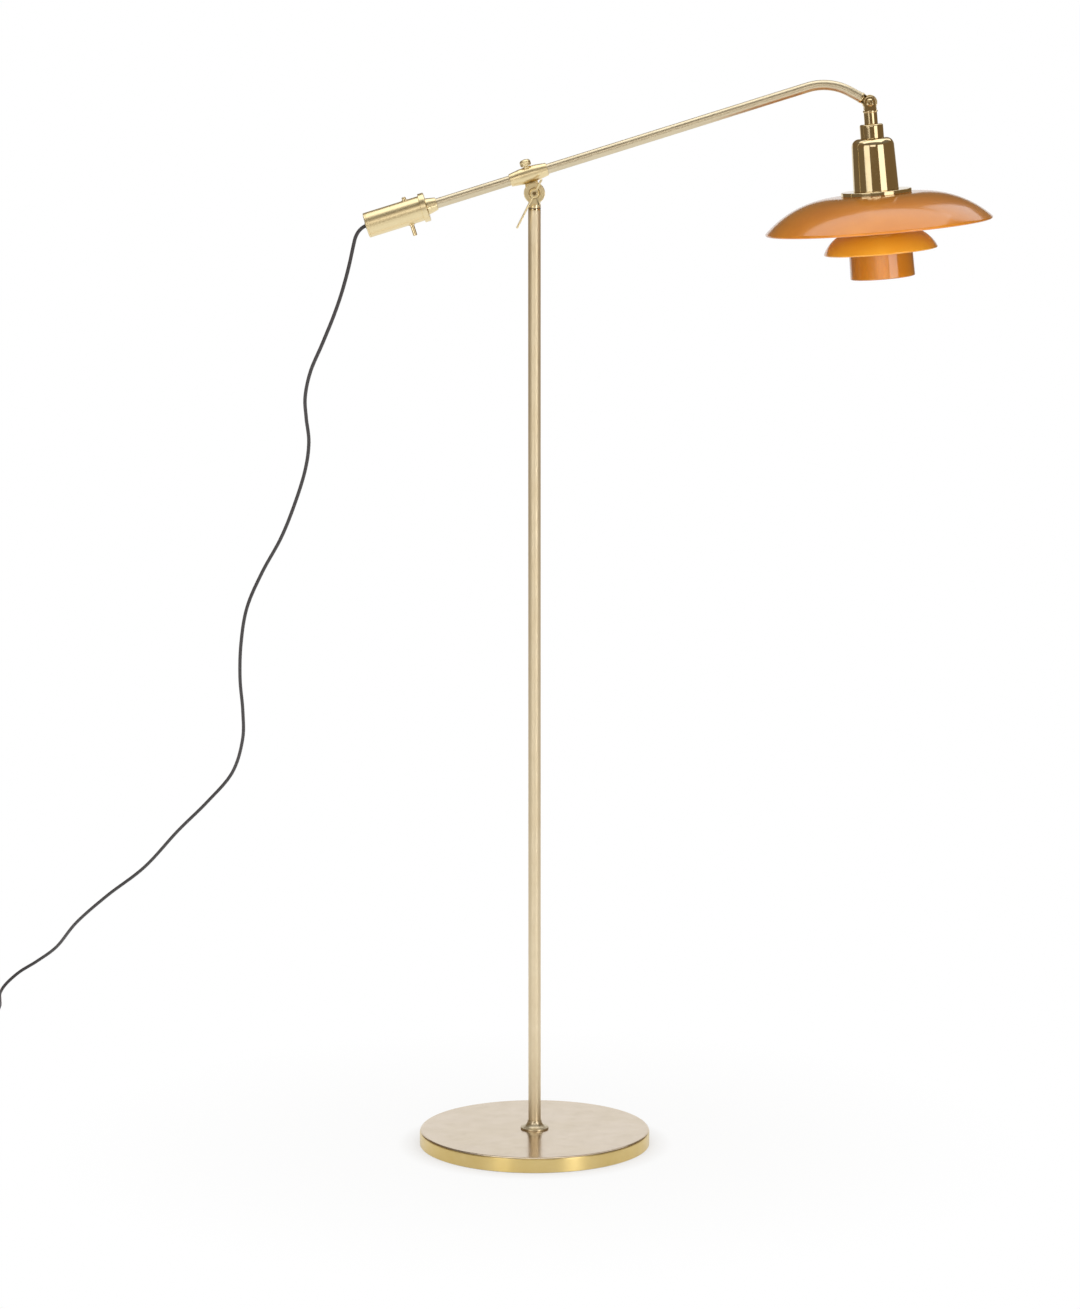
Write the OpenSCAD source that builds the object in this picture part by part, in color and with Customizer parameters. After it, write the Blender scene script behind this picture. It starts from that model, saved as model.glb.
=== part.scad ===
// Brass floor lamp: a weighted round base, a slim stem, a counterbalanced arm that swings,
// tilts and slides, a tubular switch housing on its tail and three amber glass shades.
// Millimetres. The origin is on the floor under the stem, +Z is up, and the head
// reaches towards +X. The supply cord leaves the tail of the arm towards -X.

/* [Base] */
// Diameter of the round base
base_d = 280; // [200:1:400]
// Height of the base's top face above the floor
base_h = 19; // [18:0.5:40]
// Radius of the rounded top edge
base_edge_r = 3; // [1:0.5:6]
// Sheet thickness of the spun base shell
base_wall = 1.5; // [1:0.1:2.5]
// Thickness of the felt disc under the base
felt_t = 1.6; // [1:0.1:2.4]
// How far the shell's lower rim stays above the floor
shell_lift = 0.6; // [0.3:0.1:0.9]
// Iron left above the nut pocket in the base weight
weight_web = 4; // [3:0.5:6]
// Radius of the nut pocket in the base weight
pocket_r = 17; // [14:0.5:25]

/* [Stem] */
// Outside diameter of the stem tube
stem_d = 15; // [13:0.5:22]
// Wall of the stem tube
stem_wall = 1.5; // [1:0.1:2]
// Length of the stem tube
stem_h = 1117; // [700:1:1500]
// Diameter of the flared collar at the stem's foot
stem_flange_d = 34; // [28:1:60]
// Straight lip under the collar's flare
stem_flange_lip = 2; // [1:0.5:4]
// Wall left at the top of the collar's flare
stem_flange_wall = 0.9; // [0.6:0.1:1.5]
// Diameter of the threaded stud through the base
stud_d = 10; // [8:0.5:11]
// How far the stud reaches into the stem
stud_grip = 30; // [20:1:60]
// Thickness of the washer under the base
base_washer_t = 2; // [1.5:0.5:3]
// Diameter of the washer under the base
base_washer_d = 28; // [22:1:28]
// Height of the base nut
base_nut_h = 6; // [5:0.5:7]
// Width of the base nut across its corners
base_nut_d = 19; // [16:0.5:22]

/* [Swivel and tilt joint] */
// Length of the bush in the stem's top
bush_l = 28; // [20:1:60]
// Thickness of the bush's lip on the stem
bush_lip_t = 1.5; // [1:0.1:3]
// Diameter of the swivel spindle
spindle_d = 8; // [6:0.5:9]
// Thickness of the thrust washer under the swivel
thrust_t = 0.8; // [0.5:0.1:2]
// Height of the swivel's round hub
swivel_hub_h = 4.7; // [3:0.1:10]
// Diameter of the two tilt ears
ear_d = 25; // [20:0.5:32]
// Thickness of each tilt ear
ear_t = 6; // [4:0.5:8]
// Thickness of the friction washer between the ears
friction_t = 1.2; // [0.8:0.1:2]
// Diameter of the tilt bolt
tilt_bolt_d = 6; // [5:0.5:8]
// Diameter of the tilt bolt's domed head
tilt_head_d = 13; // [11:0.5:18]
// Thickness of the tilt bolt's head
tilt_head_t = 3.6; // [2.5:0.1:5]
// Thickness of the washer under the wing nut
nut_washer_t = 0.8; // [0.5:0.1:1.5]
// Height of the wing nut's hub
wing_hub_h = 7; // [6:0.5:10]
// Reach of the nut's short wing from the bolt's axis
wing_reach = 19; // [16:0.5:24]
// Reach of the nut's long wing from the bolt's axis
lever_reach = 46; // [24:0.5:60]
// Thickness of the wings
wing_t = 2.4; // [1.6:0.1:3.5]
// Angle of the short wing above the horizontal
wing_angle = 63; // [0:1:180]

/* [Arm] */
// Outside diameter of the arm tube
arm_d = 12; // [10:0.5:14]
// Wall of the arm tube
arm_wall = 1.3; // [1:0.1:1.6]
// Slope of the arm above the horizontal
arm_angle = 17.3; // [-10:0.1:40]
// Straight length from the sleeve's middle to the bend
arm_front = 344; // [250:1:600]
// Radius of the bend at the arm's front
bend_r = 65; // [40:1:120]
// How far the bend turns the arm downwards
bend_angle = 45.5; // [20:0.5:80]
// Straight length of tube after the bend
arm_tip_run = 14; // [13:0.5:40]

/* [Sleeve] */
// Length of the sleeve that the arm slides in
sleeve_l = 46; // [34:1:80]
// Diameter of the sleeve at its middle
sleeve_d = 19; // [17:0.5:26]
// Diameter of the sleeve at its ends
sleeve_end_d = 15; // [14.5:0.5:17]
// Length of the sleeve's straight middle
sleeve_mid_l = 18; // [14:1:30]
// Diameter of the thumb screw's shank
thumb_screw_d = 5; // [4:0.5:6]
// Diameter of the thumb screw's knob
thumb_knob_d = 13; // [10:0.5:20]
// Height of the thumb screw's knob
thumb_knob_h = 8; // [5:0.5:14]
// Thickness of the pad between the screw and the arm
pad_t = 1.4; // [1:0.1:2]

/* [Switch housing] */
// Distance from the sleeve's middle back to the housing's nose
tail_at = 114; // [90:1:250]
// Length of the nose on the arm
nose_l = 12; // [8:0.5:20]
// Diameter of the nose at its narrow end
nose_tip_d = 15; // [15:0.5:18]
// Diameter of the nose where it meets the front ring
nose_root_d = 20; // [18:0.5:26]
// Length of the front ring
front_ring_l = 7; // [4:0.5:12]
// How far the front ring stands proud of the shell
front_ring_proud = 2.4; // [0.2:0.1:4]
// Diameter of the housing's shell
housing_d = 30; // [26:0.5:40]
// Wall of the housing's shell
housing_wall = 1.5; // [1:0.1:2]
// Length of the housing's shell
housing_l = 66; // [58:1:90]
// Thickness of the rear cap
rear_cap_t = 2.5; // [1.5:0.5:5]
// Length of the caps' spigots inside the shell
spigot_l = 8; // [5:0.5:10]
// Length of the switch block
switch_l = 17; // [12:0.5:20]
// Diameter of the push-through switch bar
bar_d = 5; // [4:0.5:7]
// Length of the bar that shows under the housing
bar_below = 13.6; // [9.5:0.1:20]
// Length of the bar that shows above the housing
bar_above = 4; // [2:0.1:10]

/* [Head] */
// Lean of the head from upright, its lower end outwards
head_lean = 5; // [-20:0.5:30]
// Diameter of the hinge eye at the arm's tip
eye_d = 18; // [16:0.5:24]
// Thickness of the hinge eye
eye_t = 7; // [5:0.5:9]
// Thickness of the fork's two cheeks
cheek_t = 4.6; // [3:0.1:6]
// Length of the collar between the arm tube and the eye
tip_collar_l = 3; // [2:0.5:8]
// Diameter of that collar
tip_collar_d = 13; // [12.5:0.5:14]
// Diameter of the hinge screw
hinge_screw_d = 5; // [4:0.5:6]
// Diameter of the hinge screw's head
hinge_head_d = 9; // [7:0.5:12]
// Thickness of the hinge screw's head
hinge_head_t = 3; // [2:0.5:4]
// Depth of the neck's lower end under the hinge
neck_end = 25.5; // [20:0.5:40]
// Diameter of the round neck under the fork
neck_d = 16; // [13:0.5:22]
// Diameter of the threaded nipple through the head
nipple_d = 10; // [9:0.5:12]
// Length of the nipple under the neck
nipple_l = 31; // [29:1:40]
// Diameter of the collar over the socket house
collar_d = 28; // [24:1:40]
// Height of the collar over the socket house
collar_h = 16.5; // [10:0.5:24]
// Diameter of the socket house at its shoulder
house_top_d = 50; // [48:1:70]
// Diameter of the socket house at its foot
house_foot_d = 54; // [51:1:76]
// Height of the socket house
house_h = 61.6; // [58:0.1:90]
// Radius of the socket house's shoulder
shoulder_r = 10; // [4:0.5:11]
// Sheet thickness of the socket house
house_wall = 1.2; // [0.8:0.1:2]

/* [Shades] */
// Diameter of the brass flange on the top shade
flange_d = 84; // [70:1:100]
// Thickness of the brass flange
flange_t = 5; // [3:0.5:8]
// Diameter of the top shade's rim
top_d = 271; // [220:1:340]
// Radius of the top shade's dome in section
top_arc_r = 122; // [110:1:180]
// Diameter of the top shade's flat crown
top_crown_d = 96; // [84:1:110]
// Thickness of the top shade's glass
top_glass_t = 3.5; // [2.5:0.1:5]
// Depth of the middle shade's rim under the hinge
middle_rim = 175.5; // [170:0.5:190]
// Diameter of the middle shade's rim
middle_d = 136; // [110:1:150]
// Radius of the middle shade's dome in section, as a share of its width from the neck's lip to the rim
middle_round = 1.079; // [1.02:0.001:1.6]
// Depth of the bottom shade's rim under the hinge
bottom_rim = 207; // [200:0.5:230]
// Diameter of the bottom shade's rim
bottom_d = 77; // [70:0.5:90]
// Height of the bottom shade
bottom_h = 38; // [30:0.5:45]
// How much wider the bottom shade is at its rim than at its shoulder
bottom_flare = 1.6; // [0:0.2:6]
// Radius of the bottom shade's shoulder in section
bottom_arc_r = 8.5; // [4:0.5:9]
// Thickness of the glass of the two lower shades
glass_t = 2.8; // [2:0.1:4]
// Diameter of the neck openings of the two lower shades
neck_hole_d = 52.2; // [51:0.1:56]

/* [Bulb] */
// Diameter of the round bulb
bulb_d = 45; // [35:1:46]
// Depth of the bulb's middle under the hinge
bulb_at = 147; // [140:0.5:150]
// Diameter of the bulb's screw cap
cap_d = 26.4; // [26:0.1:27]

/* [Cord] */
// Diameter of the supply cord
cord_d = 4.4; // [4:0.1:6]
// Turns in the stored coil
coil_turns = 4.5; // [2.5:2:6.5]
// Radius of the coil's outermost turn
coil_r = 28.5; // [26:0.5:36]
// Straight cord between the coil and the plug
lead_l = 30; // [10:1:60]
// Width of the plug's body
plug_w = 27; // [24:0.5:34]
// Length of the plug's body
plug_l = 32; // [24:0.5:50]

/* [Hidden] */
$fn = 96;

// Clearances
fit_gap = 0.05;    // radial, between pieces that are screwed or pressed together
run_gap = 0.05;    // radial, where one piece turns or slides in another
ear_clear = 0.5;   // between a hinge's ears and what they pass
seat_gap = 0.3;    // round a piece that lies loosely in its seat
floor_gap = 0.4;   // under the pieces of the cord on the floor
join_gap = 0.15;   // between the ends of the cord's lengths

// Colours
brass = [0.82, 0.68, 0.38];
iron = [0.28, 0.28, 0.29];
felt_green = [0.16, 0.22, 0.17];
fibre = [0.25, 0.17, 0.12];
steel = [0.62, 0.62, 0.62];
black = [0.09, 0.08, 0.08];
amber = [0.84, 0.48, 0.14];
porcelain_white = [0.93, 0.91, 0.86];
opal_white = [0.96, 0.95, 0.92];

// Base and stem, worked out
base_r = base_d / 2;
stem_r = stem_d / 2;
stem_bore_r = stem_r - stem_wall;
pocket_roof = base_h - base_wall - weight_web;
nut_top = pocket_roof - base_washer_t;
stud_proud = 1.5;
stem_top = base_h + stem_h;

// Swivel and tilt joint, worked out
ear_r = ear_d / 2;
hub_z = stem_top + bush_lip_t + thrust_t;
pivot_z = hub_z + swivel_hub_h + ear_clear + ear_r;
ear_in = friction_t / 2;
ear_out = ear_in + ear_t;
nut_seat = ear_out + nut_washer_t;
bolt_proud = 1;

// Arm, worked out
arm_r = arm_d / 2;
arm_bore_r = arm_r - arm_wall;
arm_rise = ear_r + ear_clear + sleeve_d / 2;
arm_dir = [cos(arm_angle), 0, sin(arm_angle)];
arm_up = [-sin(arm_angle), 0, cos(arm_angle)];
pivot = [0, 0, pivot_z];
tip_angle = arm_angle - bend_angle;
tip_dir = [cos(tip_angle), 0, sin(tip_angle)];
eye_r = eye_d / 2;
tip_reach = arm_tip_run + tip_collar_l + ear_clear + eye_r;
bend_end = pivot + arm_dir * (arm_front + bend_r * sin(bend_angle))
    + arm_up * (arm_rise - bend_r * (1 - cos(bend_angle)));
hinge = bend_end + tip_dir * tip_reach;
tip_spigot_l = 12;
bend_thin = 0.02;   // how much bending thins the tube's wall on each side
boss_h = 0.6;       // flat boss under the thumb screw's knob
knob_gap = 0.8;     // between the boss and the knob
flex_d = 4.8;       // flexible lead inside the arm and the head

// Switch housing, worked out as distances behind the nose's tip
housing_r = housing_d / 2;
shell_bore_r = housing_r - housing_wall;
ring_z = nose_l;
shell_z = ring_z + front_ring_l;
switch_z = shell_z + spigot_l;
switch_end = switch_z + switch_l;
bar_z = switch_z + switch_l / 2;
rear_z = shell_z + housing_l;
rear_end = rear_z + rear_cap_t;
tube_seat = nose_l + 2;
bush_r = cord_d / 2 + 2.3;
bush_tip_r = cord_d / 2 + 1.7;
bush_in = 19;       // length of the cord bush inside the housing
bush_out = 1;       // length of the cord bush outside it
bush_end = rear_end + bush_out;
mouth_l = 6;        // length of the bush's flared mouth
mouth_r = cord_d / 2 + 0.8;
mouth_z = bush_end - mouth_l;
arm_tail = tail_at + tube_seat;

// Head, worked out as depths under the hinge
fork_y = eye_t / 2 + run_gap + cheek_t;
slot_end = eye_r + ear_clear;
collar_end = neck_end + collar_h;
house_end = collar_end + house_h;
nipple_end = neck_end + nipple_l;
house_foot_r = house_foot_d / 2;
flange_bore_r = house_foot_r - house_wall - 1.5;
flange_end = house_end + flange_t;
throat_r = 30;      // outside of the flange's threaded sleeve
throat_bore_r = 27;
throat_l = 9.5;
crown_end = flange_end + top_glass_t;
carrier_r = 38;
carrier_nut_h = 6;
carrier_plate_t = 2.5;
carrier_end = crown_end + carrier_nut_h + carrier_plate_t;
strut_r = neck_hole_d / 2 - 0.5;
strut_t = 1.6;
strut_in_r = strut_r - strut_t;
strut_w = 6;
hook_r = 29;
hook_t = 1.6;
lip_r = 30;         // flat lip round the middle shade's neck
top_drop = top_arc_r - sqrt(pow(top_arc_r, 2) - pow((top_d - top_crown_d) / 2, 2));
top_rim = flange_end + top_drop;
middle_arc_r = middle_round * (middle_d / 2 - lip_r);
middle_drop = middle_arc_r - sqrt(pow(middle_arc_r, 2) - pow(middle_d / 2 - lip_r, 2));
middle_lip = middle_rim - middle_drop;
bottom_lip = bottom_rim - bottom_h;

// Lampholder and bulb, worked out as depths under the hinge
house_nut_h = 4;
house_nut_d = 1.9 * nipple_d;
house_nut_z = collar_end + house_wall;
holder_z = house_nut_z + house_nut_h;
holder_end = house_end - 6.6;
holder_r = 19;
thread_wall = 0.8;
thread_gap = 0.1;
cap_r = cap_d / 2;
cap_l = 26;
cap_z = holder_end - 1 - cap_l;
cap_tip_t = 1.5;
contact_t = 2.5;
cavity_z = cap_z - cap_tip_t - contact_t;
holder_bore_end = cavity_z - 5;
bulb_r = bulb_d / 2;
bulb_wall = 0.8;
bulb_neck_r = 12;
bulb_neck_z = cap_z + 4;
bulb_neck_l = 26;
bulb_round_from = 25;   // degrees above the bulb's middle, where the neck runs into the round

// Cord route: the exit, then points down to the floor and along it, chosen by eye
housing_tail = pivot + arm_up * arm_rise - arm_dir * tail_at;
cord_exit = housing_tail - arm_dir * mouth_z;
cord_r = cord_d / 2;
hang_points = [
    [-205, 0, 1114], [-209, 0, 1109.5], [-212, 0, 1103.5], [-214, 1, 1096], [-216.5, 3, 1085],
    [-219.5, 6, 1072], [-224, 11, 1055], [-231, 19, 1032], [-241, 32, 1005], [-255, 50, 972],
    [-270, 75, 938], [-278, 100, 905], [-278, 120, 877], [-276, 140, 845], [-282, 163, 808],
    [-297, 192, 762], [-316, 225, 716],
    [-342, 260, 668], [-363, 288, 620], [-373, 318, 570], [-377, 352, 519], [-376, 385, 471],
    [-379, 418, 427], [-396, 462, 376], [-432, 500, 330], [-475, 547, 282], [-525, 608, 221],
    [-580, 657, 172], [-628, 712, 123], [-662, 772, 76], [-693, 806, 48], [-720, 820, 29],
    [-738, 812, 14], [-744, 790, 6], [-741, 760, 3], [-737, 725, 3], [-737, 690, 3], [-742, 660, 3]
];
hang_steps = 2;
hang_sides = 8;
coil_at = [-774, 622];
coil_gap = 0.5;
coil_rise = cord_d + coil_gap;
tie_t = 0.8;
tie_gap = 0.1;
tie_w = 5;
coil_z = floor_gap + tie_t + tie_gap + cord_r;
coil_rings = 24;
coil_sides = 6;
coil_low_r = coil_r - coil_rise * coil_turns / 2;
lead_z = coil_z + coil_rise;
plug_t = 2 * (lead_z - floor_gap);
boot_l = 20;
boot_tip_r = 3;
boot_root_r = 6;
pin_r = 2.4;
pin_l = 19;
pin_space = 19;

// Helpers

function unit(v) = v / norm(v);

// A point between b and c on the smooth curve through a, b, c and d
function between(a, b, c, d, t) =
    0.5 * (2 * b + (c - a) * t + (2 * a - 5 * b + 4 * c - d) * t * t
        + (3 * b - a - 3 * c + d) * t * t * t);

// A route's points with steps - 1 more on the smooth curve in each gap
function smooth_route(p, steps) = concat(
    [for (i = [0 : len(p) - 2], k = [0 : steps - 1])
        between(p[max(i - 1, 0)], p[i], p[i + 1], p[min(i + 2, len(p) - 1)], k / steps)],
    [p[len(p) - 1]]);

// The direction of travel at each point of a route
function headings(p) = [for (i = [0 : len(p) - 1])
    unit(p[min(i + 1, len(p) - 1)] - p[max(i - 1, 0)])];

// The part of v that is square to the heading t, at length 1
function square_to(v, t) = unit(v - (v * t) * t);

// One side direction per ring, carried along the route without twist
function sides_along(h) = [for (i = 0, s = square_to([0.1, 1, 0.2], h[0]); i < len(h);
    i = i + 1, s = i < len(h) ? square_to(s, h[i]) : s) s];

// A round cord of radius r along the points p, with n sides and flat ends
module tube_along(p, r, n) {
    h = headings(p);
    s = sides_along(h);
    last = len(p) - 1;
    rings = [for (i = [0 : last], k = [0 : n - 1])
        p[i] + r * (cos(360 * k / n) * s[i] + sin(360 * k / n) * cross(h[i], s[i]))];
    walls = [for (i = [0 : last - 1], k = [0 : n - 1]) each [
        [i * n + k, (i + 1) * n + k, i * n + (k + 1) % n],
        [i * n + (k + 1) % n, (i + 1) * n + k, (i + 1) * n + (k + 1) % n]]];
    start_cap = [for (k = [1 : n - 2]) [0, k, k + 1]];
    end_cap = [for (k = [1 : n - 2]) [last * n, last * n + k + 1, last * n + k]];
    polyhedron(rings, concat(walls, start_cap, end_cap));
}

function length_of(p) = norm(p[1] - p[0]) + (len(p) > 2 ? length_of([for (i = [1 : len(p) - 1]) p[i]]) : 0);

// Points on an arc about c from the angle a to the angle b
function arc_points(c, r, a, b, n = 12) = [for (i = [0 : n])
    c + r * [cos(a + (b - a) * i / n), sin(a + (b - a) * i / n)]];

// A disc's half section from z0 to z1 with its top edge rounded
module disc_section(r, z0, z1, edge) {
    translate([0, z0]) square([r - edge, z1 - z0]);
    translate([0, z0]) square([r, z1 - edge - z0]);
    translate([r - edge, z1 - edge]) circle(r = edge);
}

// A ring or washer standing on its origin
module ring(outer_r, inner_r, h) {
    difference() {
        cylinder(r = outer_r, h = h);
        translate([0, 0, -1]) cylinder(r = inner_r, h = h + 2);
    }
}

// The arm's frame: X along the arm, Z square to it, origin on the tilt pivot
module arm_frame() translate(pivot) rotate([0, -arm_angle, 0]) children();

// Along the arm's axis, Z pointing forwards, from a point at distance u before the pivot
module along_arm(u) arm_frame() translate([u, 0, arm_rise]) rotate([0, 90, 0]) children();

// The housing's frame: Z runs back along the arm's axis from the nose's tip
module tail_frame() arm_frame() translate([-tail_at, 0, arm_rise]) rotate([0, -90, 0]) children();

// The tilt joint's frame: Z runs from the pivot towards the front, X and Y as seen from there
module tilt_frame() translate(pivot) rotate([90, 0, 0]) children();

// The tip's frame: X along the arm after its bend, origin at the bend's end
module tip_frame() translate(bend_end) rotate([0, -tip_angle, 0]) children();

// The head's frame: origin on the head hinge, Z up along the head's axis
module head_frame() translate(hinge) rotate([0, -head_lean, 0]) children();

// A round bar along the arm: straight from back, bent, and straight again up to front
module along_bent_arm(r, r_bent, back, front) arm_frame() {
    translate([-back, 0, arm_rise]) rotate([0, 90, 0]) cylinder(r = r, h = back + arm_front);
    translate([arm_front, 0, arm_rise - bend_r]) rotate([-90, -90, 0])
        rotate_extrude(angle = bend_angle) translate([bend_r, 0]) circle(r = r_bent);
    translate([arm_front + bend_r * sin(bend_angle), 0, arm_rise - bend_r * (1 - cos(bend_angle))])
        rotate([0, 90 + bend_angle, 0]) cylinder(r = r, h = front);
}

// Base and stem

module base_shell() {
    color(brass) rotate_extrude() difference() {
        disc_section(base_r, shell_lift, base_h, base_edge_r);
        disc_section(base_r - base_wall, -1, base_h - base_wall, max(base_edge_r - base_wall, 0.2));
        square([stud_d / 2 + fit_gap, base_h + 1]);
    }
}

module base_weight() {
    color(iron) rotate_extrude() difference() {
        disc_section(base_r - base_wall - seat_gap, felt_t, base_h - base_wall, base_edge_r);
        square([stud_d / 2 + fit_gap, base_h]);
        square([pocket_r, pocket_roof]);
    }
}

module base_felt() {
    color(felt_green) cylinder(r = base_r - base_wall - seat_gap, h = felt_t);
}

module base_washer() {
    color(steel) translate([0, 0, nut_top]) ring(base_washer_d / 2, stud_d / 2 + fit_gap, base_washer_t);
}

module base_nut() {
    color(steel) translate([0, 0, nut_top - base_nut_h]) difference() {
        cylinder(d = base_nut_d, h = base_nut_h, $fn = 6);
        translate([0, 0, -1]) cylinder(r = stud_d / 2 + fit_gap, h = base_nut_h + 2);
    }
}

module stem_stud() {
    stud_z = nut_top - base_nut_h - stud_proud;
    color(steel) {
        translate([0, 0, stud_z]) cylinder(d = stud_d, h = base_h - stud_z);
        translate([0, 0, base_h]) cylinder(r = stem_bore_r - fit_gap, h = stud_grip);
    }
}

module stem_flange() {
    flare_r = stem_flange_d / 2 - stem_r - fit_gap - stem_flange_wall;
    flange_h = stem_flange_lip + flare_r;
    color(brass) translate([0, 0, base_h]) rotate_extrude() difference() {
        translate([stem_r + fit_gap, 0]) square([stem_flange_wall + flare_r, flange_h]);
        translate([stem_flange_d / 2, flange_h]) circle(r = flare_r);
    }
}

module stem_tube() {
    color(brass) translate([0, 0, base_h]) ring(stem_r, stem_bore_r, stem_h);
}

module swivel_bush() {
    color(brass) difference() {
        union() {
            translate([0, 0, stem_top - bush_l]) cylinder(r = stem_bore_r - fit_gap, h = bush_l);
            translate([0, 0, stem_top]) cylinder(r = stem_r, h = bush_lip_t);
        }
        translate([0, 0, stem_top - bush_l - 1]) cylinder(r = spindle_d / 2 + run_gap, h = bush_l + bush_lip_t + 2);
    }
}

// Swivel and tilt joint

module thrust_washer() {
    color(fibre) translate([0, 0, stem_top + bush_lip_t]) ring(stem_r, spindle_d / 2 + run_gap, thrust_t);
}

spindle_end = stem_top - bush_l - seat_gap;
retainer_screw_r = 2;
retainer_grip = 10;

module swivel_head() {
    color(brass) difference() {
        union() {
            translate([0, 0, spindle_end]) cylinder(d = spindle_d, h = hub_z - spindle_end);
            translate([0, 0, hub_z]) cylinder(r = stem_r, h = swivel_hub_h);
            intersection() {
                translate([0, 0, hub_z]) cylinder(r = stem_r, h = pivot_z - hub_z);
                translate([-stem_r, -ear_out, hub_z]) cube([stem_d, ear_t, pivot_z - hub_z]);
            }
            tilt_frame() translate([0, 0, ear_in]) cylinder(r = ear_r, h = ear_t);
        }
        tilt_frame() translate([0, 0, -1]) cylinder(r = tilt_bolt_d / 2 + fit_gap, h = ear_out + 2);
        translate([0, 0, spindle_end - 1]) cylinder(r = retainer_screw_r + fit_gap, h = retainer_grip + 1);
    }
}

module swivel_retainer() {
    plate_t = 1.5;
    head_t = 2.5;
    color(steel) {
        translate([0, 0, spindle_end - plate_t]) cylinder(r = stem_bore_r - seat_gap, h = plate_t);
        translate([0, 0, spindle_end - plate_t - head_t]) cylinder(r = 2 * retainer_screw_r, h = head_t);
        translate([0, 0, spindle_end]) cylinder(r = retainer_screw_r, h = retainer_grip - 1);
    }
}

module tilt_bolt() {
    shank_end = nut_seat + wing_hub_h + bolt_proud;
    dome_h = tilt_head_t * 0.6;
    color(brass) tilt_frame() {
        translate([0, 0, -ear_out]) cylinder(d = tilt_bolt_d, h = ear_out + shank_end);
        translate([0, 0, -ear_out - tilt_head_t + dome_h]) cylinder(d = tilt_head_d, h = tilt_head_t - dome_h);
        translate([0, 0, -ear_out - tilt_head_t]) cylinder(d1 = tilt_head_d * 0.6, d2 = tilt_head_d, h = dome_h);
    }
}

module friction_washer() {
    color(fibre) tilt_frame() translate([0, 0, -ear_in]) ring(ear_r - ear_clear, tilt_bolt_d / 2 + fit_gap, friction_t);
}

module nut_washer() {
    color(brass) tilt_frame() translate([0, 0, ear_out]) ring(tilt_bolt_d / 2 + 4, tilt_bolt_d / 2 + fit_gap, nut_washer_t);
}

module wing_nut() {
    hub_r = tilt_bolt_d / 2 + 3;
    tip_r = wing_hub_h / 2;
    foot_z = max(tip_r - 0.3, sleeve_d / 2 + ear_clear - nut_seat);   // passes in front of the sleeve
    color(brass) tilt_frame() translate([0, 0, nut_seat]) difference() {
        union() {
            cylinder(r1 = hub_r, r2 = hub_r - 1.2, h = wing_hub_h);
            for (wing = [[0, wing_reach], [180, lever_reach]]) rotate([90, 0, wing_angle + wing[0]])
                linear_extrude(wing_t, center = true) {
                    tip_at = wing[1] - tip_r;
                    polygon([[2, 1.2], [min(ear_r, tip_at - 1), foot_z], [tip_at, foot_z],
                        [tip_at, foot_z + 2 * tip_r], [2, wing_hub_h - 0.5]]);
                    translate([tip_at, foot_z + tip_r]) circle(r = tip_r);
                }
        }
        translate([0, 0, -1]) cylinder(r = tilt_bolt_d / 2 + run_gap, h = wing_hub_h * 2);
    }
}

// Sleeve and its clamp

module arm_sleeve() {
    web_w = ear_d * 0.64;
    chamfer = 0.6;
    boss_r = thumb_screw_d / 2 + 2.5;
    color(brass) difference() {
        union() {
            along_arm(0) rotate_extrude() polygon([
                [0, -sleeve_l / 2], [sleeve_end_d / 2 - chamfer, -sleeve_l / 2],
                [sleeve_end_d / 2, chamfer - sleeve_l / 2], [sleeve_d / 2, -sleeve_mid_l / 2],
                [sleeve_d / 2, sleeve_mid_l / 2], [sleeve_end_d / 2, sleeve_l / 2 - chamfer],
                [sleeve_end_d / 2 - chamfer, sleeve_l / 2], [0, sleeve_l / 2]]);
            arm_frame() translate([0, ear_in, 0]) rotate([-90, 0, 0]) cylinder(r = ear_r, h = ear_t);
            arm_frame() translate([-web_w / 2, ear_in, 0]) cube([web_w, ear_t, arm_rise]);
            arm_frame() translate([0, 0, arm_rise]) cylinder(r = boss_r, h = sleeve_d / 2 + boss_h);
        }
        along_arm(-sleeve_l) cylinder(r = arm_r + run_gap, h = sleeve_l * 2);
        tilt_frame() translate([0, 0, -ear_out - 1]) cylinder(r = tilt_bolt_d / 2 + run_gap, h = ear_t + 2);
        arm_frame() translate([0, 0, arm_rise]) cylinder(r = thumb_screw_d / 2 + run_gap, h = sleeve_d);
    }
}

module clamp_pad() {
    color(fibre) difference() {
        arm_frame() translate([0, 0, arm_rise]) cylinder(d = thumb_screw_d - 2 * fit_gap, h = arm_r + pad_t);
        along_arm(-sleeve_l) cylinder(r = arm_r + run_gap, h = sleeve_l * 2);
    }
}

module thumb_screw() {
    shank_z = arm_r + pad_t;
    knob_z = sleeve_d / 2 + boss_h + knob_gap;
    bevel = 0.8;
    knob_r = thumb_knob_d / 2;
    color(brass) arm_frame() translate([0, 0, arm_rise]) rotate_extrude() polygon([
        [0, shank_z], [thumb_screw_d / 2, shank_z], [thumb_screw_d / 2, knob_z],
        [knob_r - bevel, knob_z], [knob_r, knob_z + bevel],
        [knob_r, knob_z + thumb_knob_h - bevel], [knob_r - bevel, knob_z + thumb_knob_h],
        [0, knob_z + thumb_knob_h]]);
}

// Arm

module arm_tube() {
    color(brass) difference() {
        along_bent_arm(arm_r, arm_r - bend_thin, arm_tail, arm_tip_run);
        along_bent_arm(arm_bore_r, arm_bore_r + bend_thin, arm_tail + 1, arm_tip_run + 1);
    }
}

flex_bore_r = flex_d / 2 + 0.1;
flex_end = arm_tip_run + tip_collar_l;

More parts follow.
